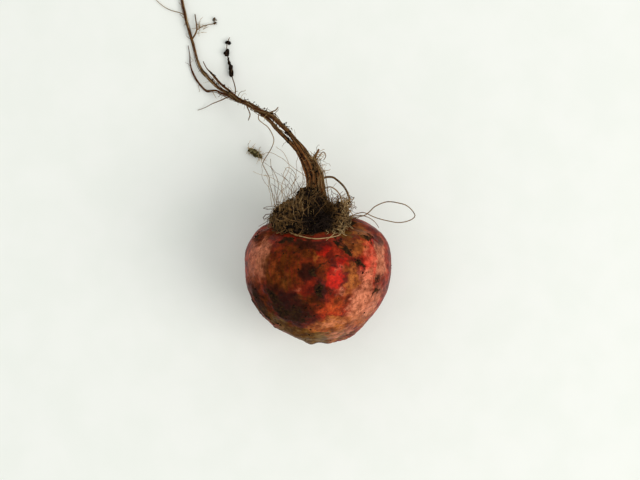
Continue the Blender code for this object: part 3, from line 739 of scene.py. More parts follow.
def thin_roots(name, lines, material, sides=5):
    """One mesh of tubes. lines is a list of (points, thickness, tone), each with a value per point."""
    points = np.vstack([line[0] for line in lines])
    mesh = bpy.data.meshes.new(name + "_lines")
    edges, start = [], 0
    for line in lines:
        edges += [(start + i, start + i + 1) for i in range(len(line[0]) - 1)]
        start += len(line[0])
    mesh.from_pydata([tuple(p) for p in points], edges, [])
    for key, index in (("thickness", 1), ("tone", 2)):
        layer = mesh.attributes.new(key, "FLOAT", "POINT")
        values = np.concatenate([line[index] for line in lines])
        layer.data.foreach_set("value", values.astype(np.float32))
    source = bpy.data.objects.new(name + "_lines", mesh)
    scene.collection.objects.link(source)
    made = grown(source, THIN_ROOTS, Sides=sides, Material=material)
    made.name = name
    print(name, "has", len(lines), "roots and", len(made.data.polygons), "faces")
    return made


# From this height up thin roots bend level, and they rise at most this much more
BEND_AT, BEND_ROOM = 71 * MM, 6.8 * MM


def root_line(points, start, tip, tone):
    """A line with its thickness from start to tip in mm, and its tone. Above BEND_AT it bends level."""
    thickness = np.linspace(start, tip, len(points)) * MM
    points = clear_of_body(points, thickness)
    over = np.maximum(0.0, points[:, 2] - BEND_AT)
    points[:, 2] -= over - BEND_ROOM * (1.0 - np.exp(-over / BEND_ROOM))
    return points, thickness, np.full(len(points), tone)


# %% [markdown]
# ### The side roots
#
# These are the thin roots that can be told apart: the fork near the far end, the arch and the loop on
# the right, the fibre that lies along the dimple's rim, and the long loose one that comes down to the
# surface and back. Most have the same points as in the solid model, but many are finer here than a
# solid can be. `clod_hair` and `rim_fibre` are moved a little, and two hairs, `clod_link` and
# `standing_hair`, are too fine for the solid model and are only here.

# %%
# Side roots: radius at the start and at the tip in mm, tone, route in mm
SIDE_ROOTLETS = {
    "forked_end": (0.55, 0.3, 0.35, [
        (-71.4, 132.5, 1.6), (-68.4, 138.0, 2.2), (-69.2, 143.0, 2.0), (-70.0, 147.0, 1.2)]),
    "fork_twig": (0.3, 0.2, 0.5, [
        (-68.6, 137.7, 2.2), (-65.2, 140.0, 1.8), (-59.2, 141.7, 1.0), (-58.4, 144.5, 0.8)]),
    "far_hair": (0.25, 0.15, 0.6, [
        (-75.6, 146.5, 1.3), (-83.7, 149.5, 1.0), (-89.7, 153.3, 0.9), (-93.7, 156.5, 0.8)]),
    "clod_hair": (0.35, 0.2, 0.3, [
        (-46.2, 99.5, 11.8), (-46.6, 105.0, 6.6), (-48.0, 110.5, 3.0), (-48.9, 114.3, 2.3),
        (-50.2, 119.5, 2.0), (-51.5, 124.7, 1.9), (-51.2, 130.8, 1.5), (-49.8, 133.6, 0.9)]),
    "right_spur": (0.5, 0.3, 0.4, [
        (-28.2, 86.5, 26.2), (-25.2, 89.0, 27.5), (-23.0, 89.7, 27.2), (-21.4, 91.5, 26.2)]),
    "low_hair": (0.4, 0.15, 0.45, [
        (-48.2, 99.5, 11.0), (-56.2, 96.8, 6.2), (-62.2, 94.1, 2.2), (-68.2, 91.9, 0.8)]),
    "stub_hair": (0.45, 0.25, 0.4, [
        (-40.2, 96.5, 16.5), (-39.0, 92.5, 13.5), (-37.7, 89.0, 11.0), (-38.4, 85.5, 10.0)]),
    "long_loop": (0.28, 0.18, 0.6, [
        (-31.7, 91.0, 22.5), (-32.4, 85.5, 15.0), (-27.5, 81.7, 10.5), (-24.2, 75.1, 7.5),
        (-26.0, 69.5, 5.0), (-29.2, 65.0, 3.0), (-31.0, 61.5, 2.0), (-29.2, 57.5, 4.0),
        (-27.2, 53.5, 10.0), (-25.4, 46.5, 22.0), (-23.7, 39.5, 34.0), (-21.7, 33.5, 38.0)]),
    "upright_hair": (0.22, 0.12, 0.6, [
        (-20.7, 31.5, 44.0), (-21.7, 40.5, 46.0), (-20.7, 48.5, 44.0), (-24.2, 56.5, 40.0),
        (-25.4, 62.5, 34.0)]),
    "curled_hair": (0.2, 0.12, 0.7, [
        (-11.2, 34.5, 47.0), (-13.7, 44.5, 48.0), (-11.2, 52.5, 45.0), (-15.7, 57.5, 42.0),
        (-18.2, 52.5, 40.0), (-15.2, 49.5, 39.0)]),
    "clod_link": (0.16, 0.11, 0.7, [
        (-5.5, 52.0, 43.0), (-9.0, 54.8, 41.0), (-15.0, 59.5, 31.0), (-21.5, 64.8, 18.0),
        (-27.0, 67.6, 8.0), (-31.5, 66.0, 3.2)]),
    "standing_hair": (0.16, 0.1, 0.65, [
        (-16.0, 34.0, 47.0), (-19.0, 46.0, 48.0), (-14.8, 57.0, 44.0), (-18.2, 66.0, 37.0),
        (-22.5, 69.5, 30.0)]),
    "hook_hair": (0.4, 0.2, 0.45, [
        (-2.2, 56.5, 44.0), (0.8, 62.0, 45.0), (3.3, 65.5, 45.0), (4.8, 63.5, 44.0),
        (3.8, 61.0, 43.0)]),
    "right_arch": (0.62, 0.5, 0.28, [
        (1.2, 47.8, 46.5), (4.0, 51.2, 48.3), (8.4, 51.8, 49.5), (12.6, 49.0, 49.5), (16.0, 44.9, 48.2),
        (18.0, 40.5, 46.2), (17.2, 36.6, 44.0), (14.0, 33.5, 42.5)]),
    "inner_arch": (0.35, 0.3, 0.6, [
        (2.8, 44.5, 46.0), (7.3, 46.5, 47.0), (11.6, 43.5, 47.5), (13.6, 38.5, 46.0),
        (10.8, 33.5, 44.0), (6.8, 31.0, 43.0)]),
    "right_loop": (0.32, 0.24, 0.5, [
        (8.8, 29.5, 44.0), (18.3, 29.5, 44.5), (26.6, 31.5, 44.0), (31.4, 35.8, 43.0),
        (38.4, 38.9, 42.0), (44.8, 38.1, 40.5), (50.3, 36.0, 38.5), (54.4, 31.1, 37.0),
        (50.0, 28.1, 36.8), (43.1, 27.4, 37.5), (36.0, 28.6, 39.0), (29.8, 31.0, 41.2),
        (25.4, 32.7, 42.8), (19.8, 31.0, 43.0), (12.8, 28.3, 43.0)]),
    "rim_fibre": (0.34, 0.28, 0.72, [
        (-15.2, 24.5, 56.0), (-11.4, 18.6, 60.0), (-5.6, 16.0, 62.0), (0.8, 14.6, 62.8),
        (6.9, 16.0, 62.0), (11.6, 19.2, 59.6), (15.3, 24.5, 55.4)]),
    "right_hair": (0.3, 0.15, 0.5, [
        (13.8, 29.5, 44.0), (24.8, 31.0, 43.0), (30.8, 28.3, 40.0), (34.3, 24.5, 37.0)]),
}
SIDE_STEP, SIDE_RING_STEP = 3.2 * MM, 1.0 * MM
side_lines = []
for start, tip, tone, corners in SIDE_ROOTLETS.values():
    rough_route = kinked(smooth_route(np.array(corners) * MM, SIDE_STEP))
    side_lines.append(root_line(smooth_route(rough_route, SIDE_RING_STEP), start, tip, tone))
print(len(side_lines), "side roots")

# %% [markdown]
# ## The soil
#
# Soil and root hairs form one dark, crumbly mat round the tap root, thickest where the strands come
# out. It is made like the skin: rings that follow the body's formula, lifted by the mat's thickness and
# broken up by noise. Two clumps, left and right, have dried to an olive brown, and between them is a
# hollow where soil and roots are darkened as painted shade. They are given one by one, because the eye finds
# them at once.

# %%
# The mat's thickness. Clumps: angle round the axis, share of the way out, height in mm. Roots on the
# pale clumps are paler, the more the higher the number
# The hollow is a real dip in the mat; the soil and roots in it are darkened as painted shade
HOLLOW = (1.40, 0.68, -3.8)
CLUMPS = [(2.55, 0.68, 3.4), (0.55, 0.76, 9.0), HOLLOW, (3.6, 0.6, 1.5), (5.2, 0.6, 1.0)]
RISING_CLUMPS = [clump for clump in CLUMPS if clump is not HOLLOW]
PALE_CLUMPS = [(2.1, 0.62, 1.2), (3.2, 0.7, 2.4), (0.6, 0.8, 6.0)]
PLATEAU_HEIGHT, COLLAR_HEIGHT = 8.2 * MM, 10.5 * MM
LUMPS_HEIGHT, CRUMBS_HEIGHT = 2.8 * MM, 1.7 * MM


def mat_reach(psi):
    """How far from the root end the mat comes, as an angle: farther on the left and over the rim."""
    return 0.62 - 0.14 * np.cos(psi) + 0.11 * np.maximum(0.0, np.sin(psi))


def clump_height(share, psi, clumps):
    total = np.zeros(len(share))
    for middle, at, height in clumps:
        apart = np.arctan2(np.sin(psi - middle), np.cos(psi - middle))
        total += height * MM * bump(apart, 0.6) * bump(share - at, 0.32)
    return total


def mat_top(share, psi):
    """The height of the mat's lumpy surface above the plain skin."""
    plateau = PLATEAU_HEIGHT * (1.0 - np.minimum(share, 1.0) ** 4) * (1.0 - 0.25 * np.cos(psi))
    collar = COLLAR_HEIGHT * smooth_step((0.50 - share) / 0.34)
    plain = 0.4 * MM + plateau + collar + clump_height(share, psi, CLUMPS)
    points = above_skin(share * mat_reach(psi), psi, plain)
    inside = smooth_step((1.0 - share) * 4.0)
    rough = LUMPS_HEIGHT * clouds(points, 7 * MM, 3) + CRUMBS_HEIGHT * clouds(points, 2.4 * MM, 4)
    return plain + rough * inside - 0.7 * MM * (1.0 - inside)


# %%
# The mat itself, closed underneath inside the body
MAT_RINGS, MAT_TURNS = 76, 210
share = np.repeat(np.arange(1, MAT_RINGS + 1) / MAT_RINGS, MAT_TURNS)
psi = np.tile(np.linspace(0, math.tau, MAT_TURNS, endpoint=False), MAT_RINGS)
share, psi = np.append(share, [0.0]), np.append(psi, [0.0])
over = above_skin(share * mat_reach(psi), psi, mat_top(share, psi))
mat_points = np.vstack([over, above_skin([0.0], [0.0], [-1.0 * MM])])
mat_faces = wrapped_grid(MAT_RINGS, MAT_TURNS)
dried = np.append(clump_height(share, psi, RISING_CLUMPS) / (3 * MM), [0.0])
# How deep each point lies in the hollow, which darkens the soil there as painted shade
hollow = np.append(-clump_height(share, psi, [HOLLOW]) / (3 * MM), [0.0])
print("the mat has", len(mat_faces), "faces")

# %% [markdown]
# ### Its finish
#
# Garden soil is nearly black where it is damp and brown where it has dried on top, and in the mat's
# hollow it is held at the damp black as painted shade. It has no gloss. Pale specks in it are bits of root
# and grit.

# %%
# Crumbly soil
def soil_material(name, damp, dry, fleck, dryness=None):
    """Two colours mixed by the crumbs' noise. The last argument names a point value that favours the dry
    one, and in the mat's hollow, where it is low, the damp colour stands as painted shade.
    """
    material, tree, shader = new_material(name)
    place = here(tree)
    crumbs = cloud(tree, place, 1.6 * MM, 4, 0.65)
    lighter = plus(tree, crumbs, times(tree, attribute(tree, dryness), 0.16)) if dryness else crumbs
    colour = blend(tree, ramp(tree, lighter, 0.44, 0.70), damp, dry)
    colour = cover_with(tree, colour, fleck, ramp(tree, cloud(tree, place, 0.8 * MM, 1), 0.66, 0.7), 0.7)
    fill(tree, shader, Base_Color=colour, Specular_IOR_Level=0.03, Roughness=0.97,
         Normal=bumped(tree, crumbs, 0.8, 0.6 * MM))
    return material


soil_finish = soil_material("damp_garden_soil", "#0e0a08", "#35241a", "#5e4c32")
mat_finish = soil_material("matted_soil_and_root_hairs", "#100b08", "#6a4e2c", "#937a4c", dryness="dryness")
olive_finish = soil_material("olive_soil_with_root_hairs", "#38321c", "#847a52", "#b8ae88")
# The soil is lighter on the dry clumps, and darkened as painted shade in the hollow
mat = add_mesh("soil_mat", mat_points, mat_faces, mat_finish, {"dryness": dried - 1.5 * hollow})

# %% [markdown]
# ### The nest
#
# Short feeding roots creep over the soil and hold it together. Each starts somewhere on the mat with a
# bend of its own and takes small steps: it turns a little, moves on, and is drawn back to its height
# over the soil, so it follows every lump. All of them take each step at once, as arrays. A few longer
# ones circle the tap root, many short ones stick out of the mat, a loose tangle stands up over the two
# clumps, pale ones hang over the shoulder, and the arch on the right ends in a small dark knot.

# %%
# Roots that creep over the mat
picks = np.random.default_rng(SEED)


def unit(vectors):
    return vectors / np.linalg.norm(vectors, axis=-1, keepdims=True)


def creeping_roots(count, most_steps, step, tallest):
    """Lines of up to most_steps steps. tallest is how high in mm the highest of them hover."""
    psi, share = picks.uniform(0, math.tau, count), np.sqrt(picks.uniform(0.01, 1.1, count))
    lift = (0.05 + tallest * picks.uniform(0, 1, count) ** 3) * MM
    place = above_skin(share * mat_reach(psi), psi, mat_top(share, psi) + lift)
    heading = unit(picks.normal(size=(count, 3)))
    curl = picks.normal(0, 0.24, count)
    track = [place]
    for _ in range(most_steps):
        out = unit(place - BODY_CENTRE)
        turn = (curl + picks.normal(0, 0.22, count))[:, None]
        heading = heading + np.cross(out, heading) * turn + out * picks.normal(0, 0.12, (count, 1))
        heading = unit(heading - 0.5 * out * (heading * out).sum(1, keepdims=True))
        heading = unit(heading + 0.5 * ALONG * (share > 1.02)[:, None])
        place = place + heading * step
        phi, psi, length = angles_of(place)
        share = phi / mat_reach(psi)
        wanted = skin_reach(phi, psi) + mat_top(share, psi) + lift
        place = BODY_CENTRE + (place - BODY_CENTRE) * (1 + 0.45 * (wanted / length - 1))[:, None]
        track.append(place)
    track = np.stack(track, axis=1)
    lines = []
    for line in track:
        kept = int(picks.uniform(0.4, 1.0) * most_steps)
        thick = 0.09 + 0.27 * picks.uniform() ** 2
        tone = float(np.clip(picks.normal(0.42, 0.22), 0, 1))
        lines.append(root_line(line[:kept], thick, thick * 0.7, tone))
    return lines


def hollow_shade_and_pale_clumps(points):
    """How far each point is in the hollow, which is darkened as painted shade, and how far on the pale
    clumps.
    """
    phi, psi, _ = angles_of(points)
    share = phi / mat_reach(psi)
    in_shaded_hollow = -clump_height(share, psi, [HOLLOW]) / (3 * MM)
    return in_shaded_hollow, clump_height(share, psi, PALE_CLUMPS) / (5 * MM)


def with_hollow_shade(line):
    """Darkens a root as painted shade where it crosses the hollow, and lets it be paler on the pale clumps.
    """
    points, thickness, tone = line
    in_shaded_hollow, dry = hollow_shade_and_pale_clumps(points)
    thickness = thickness * (1.0 - 0.3 * np.clip(in_shaded_hollow, 0, 1))
    # Painted shade: a root is darkened where it crosses the hollow
    return points, thickness, np.clip(tone * (0.68 + 0.8 * dry - 1.2 * in_shaded_hollow), 0, 1)


creeping_lines = creeping_roots(count=460, most_steps=26, step=0.75 * MM, tallest=2.6)
print(len(creeping_lines), "creeping roots")

# %%
# Helpers for roots that go their own way
def several(count, make, *facts):
    """A list of count lines, each made by the same function."""
    return [make(*facts) for _ in range(count)]


def stir(amount):
    """A random step in space."""
    return np.array([rng.gauss(0, amount) for _ in range(3)])


def on_mat(psi, share):
    """One place on the mat's surface."""
    psi, share = np.array([psi]), np.array([share])
    return above_skin(share * mat_reach(psi), psi, mat_top(share, psi))[0]


def wandering(place, heading, length, bend, fall=0.0, step=0.8 * MM):
    """A line that sets out in a direction and changes it little by little."""
    points, heading = [np.array(place)], unit(np.array(heading))
    for _ in range(max(4, round(length / step))):
        heading = unit(heading + stir(bend) + np.array([0, 0, -fall]))
        points.append(points[-1] + heading * step)
    return np.array(points)


print("half way out on the right, the mat's surface is at", np.round(on_mat(0.0, 0.5) / MM, 1), "mm")

# %%
# Roots that circle the tap root, and roots that stick out of the mat
def circling_line():
    """A root that lies round the tap root in a bow."""
    start, sweep = rng.uniform(0, math.tau), rng.choice((-1, 1)) * rng.uniform(0.5, 1.8)
    leftward = -math.cos(start + sweep / 2)
    reach = rng.uniform(0.40, 0.68) + 0.10 * leftward
    lift = rng.uniform(0.3, 8.0) * MM * (1 + 0.25 * leftward)
    t = np.linspace(0, 1, 22)
    bow = np.sin(math.pi * t)
    wave, turns = rng.uniform(0, math.tau), rng.uniform(1.5, 4.0)
    phi = 0.2 + (reach - 0.2) * bow + 0.06 * np.sin(wave + turns * math.tau * t)
    psi = start + sweep * t + 0.12 * np.cos(wave + turns * math.tau * t)
    height = 0.5 * MM + 5 * MM * (1 - bow) + lift * bow + 1.6 * MM * np.sin(2 * wave + turns * math.tau * t)
    thick = rng.uniform(0.10, 0.30)
    line = above_skin(phi, psi, np.maximum(height, 0.2 * MM))
    return root_line(line, thick, thick * 0.8, rng.uniform(0.2, 0.8))


def fringe_line():
    """A short curly root that sticks out of the mat."""
    place = on_mat(rng.uniform(0, math.tau), rng.uniform(0.1, 1.0))
    heading = unit(place - BODY_CENTRE) + stir(0.6)
    thick = rng.uniform(0.07, 0.16)
    line = wandering(place, heading, rng.uniform(2, 7) * MM, 0.42)
    return root_line(line, thick, thick * 0.6, rng.uniform(0.3, 0.9))


# %%
# The tangle over the clumps, the roots over the shoulder, and the curls of a knot
def clump_line():
    """A root of the loose tangle that stands up over the dry clump on the right, or over the left one."""
    middle, spread, tallest = rng.choice([(0.65, 0.38, 9.5)] * 3 + [(2.4, 0.45, 4.0)])
    place = on_mat(rng.gauss(middle, spread), rng.uniform(0.4, 0.95))
    heading = unit(place - BODY_CENTRE) + 0.7 * ALONG + stir(0.8)
    line = wandering(place, heading, rng.uniform(5, 15) * MM, 0.36, 0.02, 0.7 * MM)
    phi, psi, length = angles_of(line)
    highest = skin_reach(phi, psi) + mat_top(phi / mat_reach(psi), psi) + tallest * MM
    line = BODY_CENTRE + (line - BODY_CENTRE) * np.minimum(1.0, highest / length)[:, None]
    thick = rng.uniform(0.09, 0.22)
    return root_line(line, thick, thick * 0.6, rng.uniform(0.25, 0.75))


def draped_line():
    """A pale root that hangs from the mat over the shoulder on the right."""
    t = np.linspace(0, 1, 16)
    psi = rng.uniform(-0.2, 1.2) + 0.2 * rng.gauss(0, 1) * t
    psi = psi + 0.05 * np.sin(9 * t + rng.uniform(0, math.tau))
    phi = mat_reach(psi) * (0.85 + rng.uniform(0.2, 0.5) * t)
    height = (0.15 + rng.uniform(0, 2) * np.sin(math.pi * t)) * MM
    thick = rng.uniform(0.12, 0.30)
    return root_line(above_skin(phi, psi, height), thick, thick * 0.6, rng.uniform(0.5, 0.9))


def knot_line(middle, spread, longest):
    """A dark curl of a knot of roots. The place, the spread and the longest curl are in mm."""
    place = np.array(middle) * MM + stir(spread) * MM
    length = rng.uniform(0.4, 1.0) * longest * MM
    line = wandering(place, stir(1.0), length, 0.7, 0.0, 0.12 * longest * MM)
    return root_line(line, 0.26, 0.16, rng.uniform(0.05, 0.35))


# %%
# The nest's roots, all together. The place of the knot is in mm
NEST_COUNTS = {"circling": 44, "fringe": 260, "clump": 340, "draped": 56, "knot": 26}
ARCH_KNOT = (17.4, 38.6, 45.2)
nest_lines = creeping_lines + several(NEST_COUNTS["circling"], circling_line)
nest_lines += several(NEST_COUNTS["fringe"], fringe_line)
tangle_lines = several(NEST_COUNTS["clump"], clump_line)
nest_lines += [line for line in tangle_lines if hollow_shade_and_pale_clumps(line[0])[0].max() < 0.55]
nest_lines = [with_hollow_shade(line) for line in nest_lines]
nest_lines += several(NEST_COUNTS["draped"], draped_line)
nest_lines += several(NEST_COUNTS["knot"], knot_line, ARCH_KNOT, 0.9, 5.0)
print(len(nest_lines), "roots in the nest")

# %% [markdown]
# ### Fibres and hairs
#
# Fine fibres wind along the strands and fray at the short strand's end. The finest roots are hairs 0.15
# to 0.4 mm across: they drift out from the nest and the strands and hang in the air. From above they
# show as faint lines, most of them to the left of the tap root. Hairs also bind the olive clod, stand in
# a tuft at the fork near the far end, and lie in dark curls on its twig and matted on the main strand.

# %%
# Fibres on the strands
FIBRE_COUNTS = {"main": 34, "twin": 20, "outer": 24, "short": 14}


def strand_fibre(name):
    """A thin root that winds along a strand, on it or a little off it."""
    route, radius = strand_lines[name]
    across, over = ring_directions(route)
    first = int(rng.uniform(0.0, 0.75) * len(route))
    picked = np.arange(first, min(len(route), first + int(rng.uniform(20, 90))), 2)
    if len(picked) < 4:
        return []
    angle = rng.uniform(0, math.tau) + rng.uniform(-0.14, 0.14) * np.arange(len(picked))
    loose = rng.choice((0.0, 0.0, 0.5, 1.2)) * MM * np.sin(np.linspace(0, math.pi, len(picked))) ** 2
    off = (radius[picked] * 0.96 + loose)[:, None]
    ring = np.cos(angle)[:, None] * across[picked] + np.sin(angle)[:, None] * over[picked]
    thick = rng.uniform(0.12, 0.32)
    return [root_line(route[picked] + off * ring, thick, thick * 0.6, rng.uniform(0.15, 0.7))]


fibre_lines = []
for name, count in FIBRE_COUNTS.items():
    fibre_lines += sum(several(count, strand_fibre, name), [])
print(len(fibre_lines), "fibres")

# %%
# Hairs of the nest and of the strands
def nest_hair():
    """A hair that stands off the nest's left side."""
    psi = rng.uniform(1.7, 4.4)
    place = above_skin([rng.uniform(0.35, 0.7)], [psi], [rng.uniform(3, 9) * MM])[0]
    heading = (max(-0.2, rng.gauss(0.1, 0.24)), 1.0, rng.gauss(-0.05, 0.3))
    line = wandering(place, heading, rng.uniform(10, 38) * MM, 0.15, 0.01)
    return root_line(line, 0.12, 0.08, rng.uniform(0.3, 0.8))


def strand_hair(name, thick):
    """A short hair that leaves a strand at a slant and curls."""
    route = strand_lines[name][0]
    index = int(rng.uniform(0.1, 0.97) * (len(route) - 2))
    heading = unit(route[index + 1] - route[index]) * rng.choice((-1, 1)) + stir(0.7)
    line = wandering(route[index], heading, rng.uniform(2.5, 8) * MM, 0.38, 0.02)
    return root_line(line, thick, thick * 0.6, rng.uniform(0.3, 0.8))


def frayed_end():
    """A hair of the brush that the short strand ends in."""
    route = strand_lines["short"][0]
    index = int(rng.uniform(0.55, 0.99) * (len(route) - 2))
    heading = np.array([rng.gauss(0.5, 0.6), rng.gauss(0.8, 0.5), rng.gauss(0.0, 0.4)])
    thick = rng.uniform(0.10, 0.22)
    line = wandering(route[index], heading, rng.uniform(3, 9) * MM, 0.36, 0.01)
    return root_line(line, thick, thick * 0.6, rng.uniform(0.5, 0.85))


# %%
# Hairs of the olive clod and of the fork. The fork's place is in mm
FORK = (-67.2, 139.5, 1.6)


def binding_hair():
    """A hair that binds the olive clod, which lies along a slanting line."""
    x, z = rng.uniform(-38.5, -31.5), rng.uniform(1.0, 3.4)
    place = np.array([x, 67.3 - 0.7 * (x + 34.9), z]) * MM
    heading = [rng.gauss(0, 1), rng.gauss(0, 1), rng.gauss(0, 0.3)]
    return root_line(wandering(place, heading, rng.uniform(2, 7) * MM, 0.4), 0.14, 0.08, 0.8)


def fork_hair():
    """A hair of the tuft at the fork near the far end."""
    place = np.array([FORK[0] + rng.gauss(0, 1.3), FORK[1] + rng.gauss(0, 2.0), FORK[2]]) * MM
    heading = [rng.gauss(0.3, 1), rng.gauss(0.3, 1), rng.gauss(0, 0.2)]
    return root_line(wandering(place, heading, rng.uniform(1.5, 4.5) * MM, 0.4), 0.13, 0.07, 0.75)


# %%
# All hairs. TWIG_KNOTS are places in mm, MATTED is the stretch of the main strand with dark curls
HAIR_COUNTS = {"nest": 46, "brush": 48, "clod": 46, "fork": 18, "twig": 22, "matted": 64}
STRAND_HAIR_COUNTS = {"main": 34, "twin": 16, "outer": 22, "short": 26}
TWIG_KNOTS = ((-58.6, 141.8, 1.0), (-58.6, 144.4, 1.0))
MATTED = (0.26, 0.47)
hair_lines = several(HAIR_COUNTS["nest"], nest_hair) + several(HAIR_COUNTS["brush"], frayed_end)
hair_lines += several(HAIR_COUNTS["clod"], binding_hair)
for name, count in STRAND_HAIR_COUNTS.items():
    hair_lines += [strand_hair(name, rng.uniform(0.08, 0.2)) for _ in range(count)]
hair_lines += several(HAIR_COUNTS["fork"], fork_hair)
for _ in range(HAIR_COUNTS["twig"]):
    hair_lines.append(knot_line(rng.choice(TWIG_KNOTS), spread=0.4, longest=1.9))
matted = strand_lines["main"][0][::4] / MM
matted = matted[round(MATTED[0] * len(matted)):round(MATTED[1] * len(matted))]
for _ in range(HAIR_COUNTS["matted"]):
    hair_lines.append(knot_line(rng.choice(matted), spread=1.1, longest=3.4))
print(len(hair_lines), "hairs")

# %% [markdown]
# ### Their finish
#
# Young roots are pale and a little waxy, older ones are brown cork. The `tone` of each line picks its
# place between the two, and noise adds specks of soil that cling to it.

# %%
# Pale to brown thin roots
def thin_root_material():
    material, tree, shader = new_material("pale_to_brown_feeding_root")
    place, tone = here(tree), attribute(tree, "tone")
    colour = blend(tree, ramp(tree, tone, 0.0, 0.45), "#1c110a", "#6c4e2a")
    colour = blend(tree, ramp(tree, tone, 0.4, 1.0), colour, "#c6a878")
    clinging = ramp(tree, cloud(tree, place, 2.4 * MM, 3), 0.5, 0.66)
    colour = cover_with(tree, colour, "#2a1c12", clinging, 0.7)
    fill(tree, shader, Base_Color=colour, Specular_IOR_Level=0.12, Roughness=0.7,
         Normal=bumped(tree, cloud(tree, place, 0.5 * MM, 2), 0.4, 0.1 * MM))
    return material


thin_finish = thin_root_material()
side_roots = thin_roots("side_roots", side_lines, thin_finish, sides=7)
nest = thin_roots("nest_of_fine_roots", nest_lines, thin_finish, sides=5)
strand_fibres = thin_roots("strand_fibres", fibre_lines, thin_finish, sides=5)
hairs = thin_roots("root_hairs", hair_lines, thin_finish, sides=4)

# %% [markdown]
# ### Crumbs, by Geometry Nodes
#
# Crumbs cling to the mat, to the strands and to the muddy skin. A second tree scatters them: points on
# a surface, thinned out by a value on it, a small lump on each point with a random size and turn. The
# seed is fixed, so the crumbs lie the same way each time. Each lump has only twenty faces, because
# thousands of them are made.

# %%
# The tree that scatters crumbs over a surface
def crumb_tree():
    group, given = new_group("soil_crumbs", [
        ("Crumbs per square metre", "NodeSocketFloat", 1e5), ("Smallest", "NodeSocketFloat", 0.3 * MM),
        ("Largest", "NodeSocketFloat", 1.0 * MM), ("Seed", "NodeSocketInt", SEED),
        ("Lump", "NodeSocketObject", None), ("Material", "NodeSocketMaterial", None)])
    where = add_node(group, "GeometryNodeInputNamedAttribute", {"data_type": "FLOAT"}, Name="crumbs")
    density = times(group, where.outputs[0], given["Crumbs per square metre"])
    points = add_node(group, "GeometryNodeDistributePointsOnFaces", {"distribute_method": "RANDOM"},
                      Mesh=given["Geometry"], Density=density, Seed=given["Seed"]).outputs[0]
    size = add_node(group, "FunctionNodeRandomValue", {"data_type": "FLOAT"}, _2=0.0, _3=1.0,
                    Seed=given["Seed"])
    skewed = calculate(group, "POWER", size.outputs[1], 3.0)
    grown_size = add_node(group, "ShaderNodeMapRange", Value=skewed, To_Min=given["Smallest"],
                          To_Max=given["Largest"])
    turn = add_node(group, "FunctionNodeRandomValue", {"data_type": "FLOAT_VECTOR"}, _1=(math.tau,) * 3,
                    Seed=given["Seed"])
    lump = add_node(group, "GeometryNodeObjectInfo", Object=given["Lump"]).outputs["Geometry"]
    copies = add_node(group, "GeometryNodeInstanceOnPoints", Points=points, Instance=lump,
                      Rotation=turn.outputs[0], Scale=grown_size.outputs[0]).outputs[0]
    smooth = add_node(group, "GeometryNodeSetShadeSmooth", Geometry=copies, Shade_Smooth=False).outputs[0]
    end_group(group, smooth, given["Material"])
    return group


CRUMBS = crumb_tree()


def lump_object():
    """One crumb of radius 1: an icosahedron pushed out of round."""
    bm = bmesh.new()
    bmesh.ops.create_icosphere(bm, subdivisions=1, radius=1.0)
    for vert in bm.verts:
        vert.co *= 0.8 + 0.45 * rng.random()
    mesh = bpy.data.meshes.new("crumb")
    bm.to_mesh(mesh)
    bm.free()
    made = bpy.data.objects.new("crumb", mesh)
    scene.collection.objects.link(made)
    return made


lump = lump_object()


def crumbs_on(name, points, faces, where, per_square_metre, smallest, largest, seed):
    """Crumbs over a surface given by its points, faces and the value that thins them out. Sizes in mm."""
    carrier = add_mesh(name + "_carrier", points, faces, soil_finish, {"crumbs": where})
    made = grown(carrier, CRUMBS, Crumbs_per_square_metre=per_square_metre, Smallest=smallest * MM,
                 Largest=largest * MM, Seed=seed, Lump=lump, Material=soil_finish)
    made.name = name
    low = min(v.co.z for v in made.data.vertices)
    print(name, "has", len(made.data.polygons) // 20, "crumbs, lowest at", round(low / MM, 2), "mm")
    return made


high_enough = smooth_step((skin_points[:, 2] - 2 * MM) / (2 * MM))
muddy = np.clip(0.012 + 0.9 * skin_values["mud"] ** 2 + 0.05 * skin_values["film"], 0, 1) * high_enough
skin_crumbs = crumbs_on("crumbs_on_skin", skin_points, wrapped_grid(SKIN_RINGS, SKIN_TURNS), muddy,
                        per_square_metre=2.2e5, smallest=0.14, largest=0.6, seed=11)
mat_crumbs = crumbs_on("crumbs_on_mat", mat_points, mat_faces, np.ones(len(mat_points)),
                       per_square_metre=5e5, smallest=0.25, largest=1.3, seed=12)
strand_high = smooth_step((strand_points[:, 2] - 1.2 * MM) / (1.0 * MM))
in_places = smooth_step(clouds(strand_points, 8 * MM, 2) * 2.5 + 0.3)
strand_crumbs = crumbs_on("crumbs_on_strands", strand_points, strand_faces, strand_high * in_places,
                          per_square_metre=3.0e5, smallest=0.2, largest=0.95, seed=13)
bpy.data.objects.remove(lump)

# %% [markdown]
# ### Clods
#
# Three dark clods hang on one thin side root, like beads, and an olive one is bound by root hairs. A
# clod is a few uneven balls run together: each ball is drawn out to its size and broken up by noise.
# The dark ones narrow to a neck of soil on the root between them.

# %%
# Clods: finish, slot, and the place and half sizes in mm of each ball
CLODS = {
    "soil_clod_long": (soil_finish, "dark_soil", [
        ((-48.8, 113.6, 2.3), (1.3, 2.6, 1.5)), ((-49.2, 116.4, 2.2), (1.2, 2.2, 1.4)),
        ((-49.9, 119.0, 2.0), (0.8, 1.5, 0.9)), ((-50.5, 121.2, 1.9), (0.6, 1.3, 0.7))]),
    "soil_clod_oval": (soil_finish, "dark_soil", [
        ((-51.5, 124.5, 1.9), (1.6, 1.9, 1.5)), ((-51.1, 126.1, 1.7), (1.0, 1.2, 1.0))]),
    "soil_clod_small": (soil_finish, "dark_soil", [
        ((-51.0, 130.8, 1.5), (1.5, 1.1, 1.2)), ((-50.2, 130.3, 1.4), (1.1, 1.0, 1.0))]),
    "soil_clod_olive": (olive_finish, "olive_soil", [
        ((-38.0, 69.3, 1.7), (1.3, 1.1, 1.0)), ((-36.4, 68.4, 2.2), (1.9, 1.6, 1.6)),
        ((-34.7, 67.2, 2.4), (2.2, 1.8, 1.8)), ((-33.0, 65.9, 1.9), (1.5, 1.3, 1.2)),
        ((-31.7, 65.1, 1.5), (0.8, 0.8, 0.8))]),
}


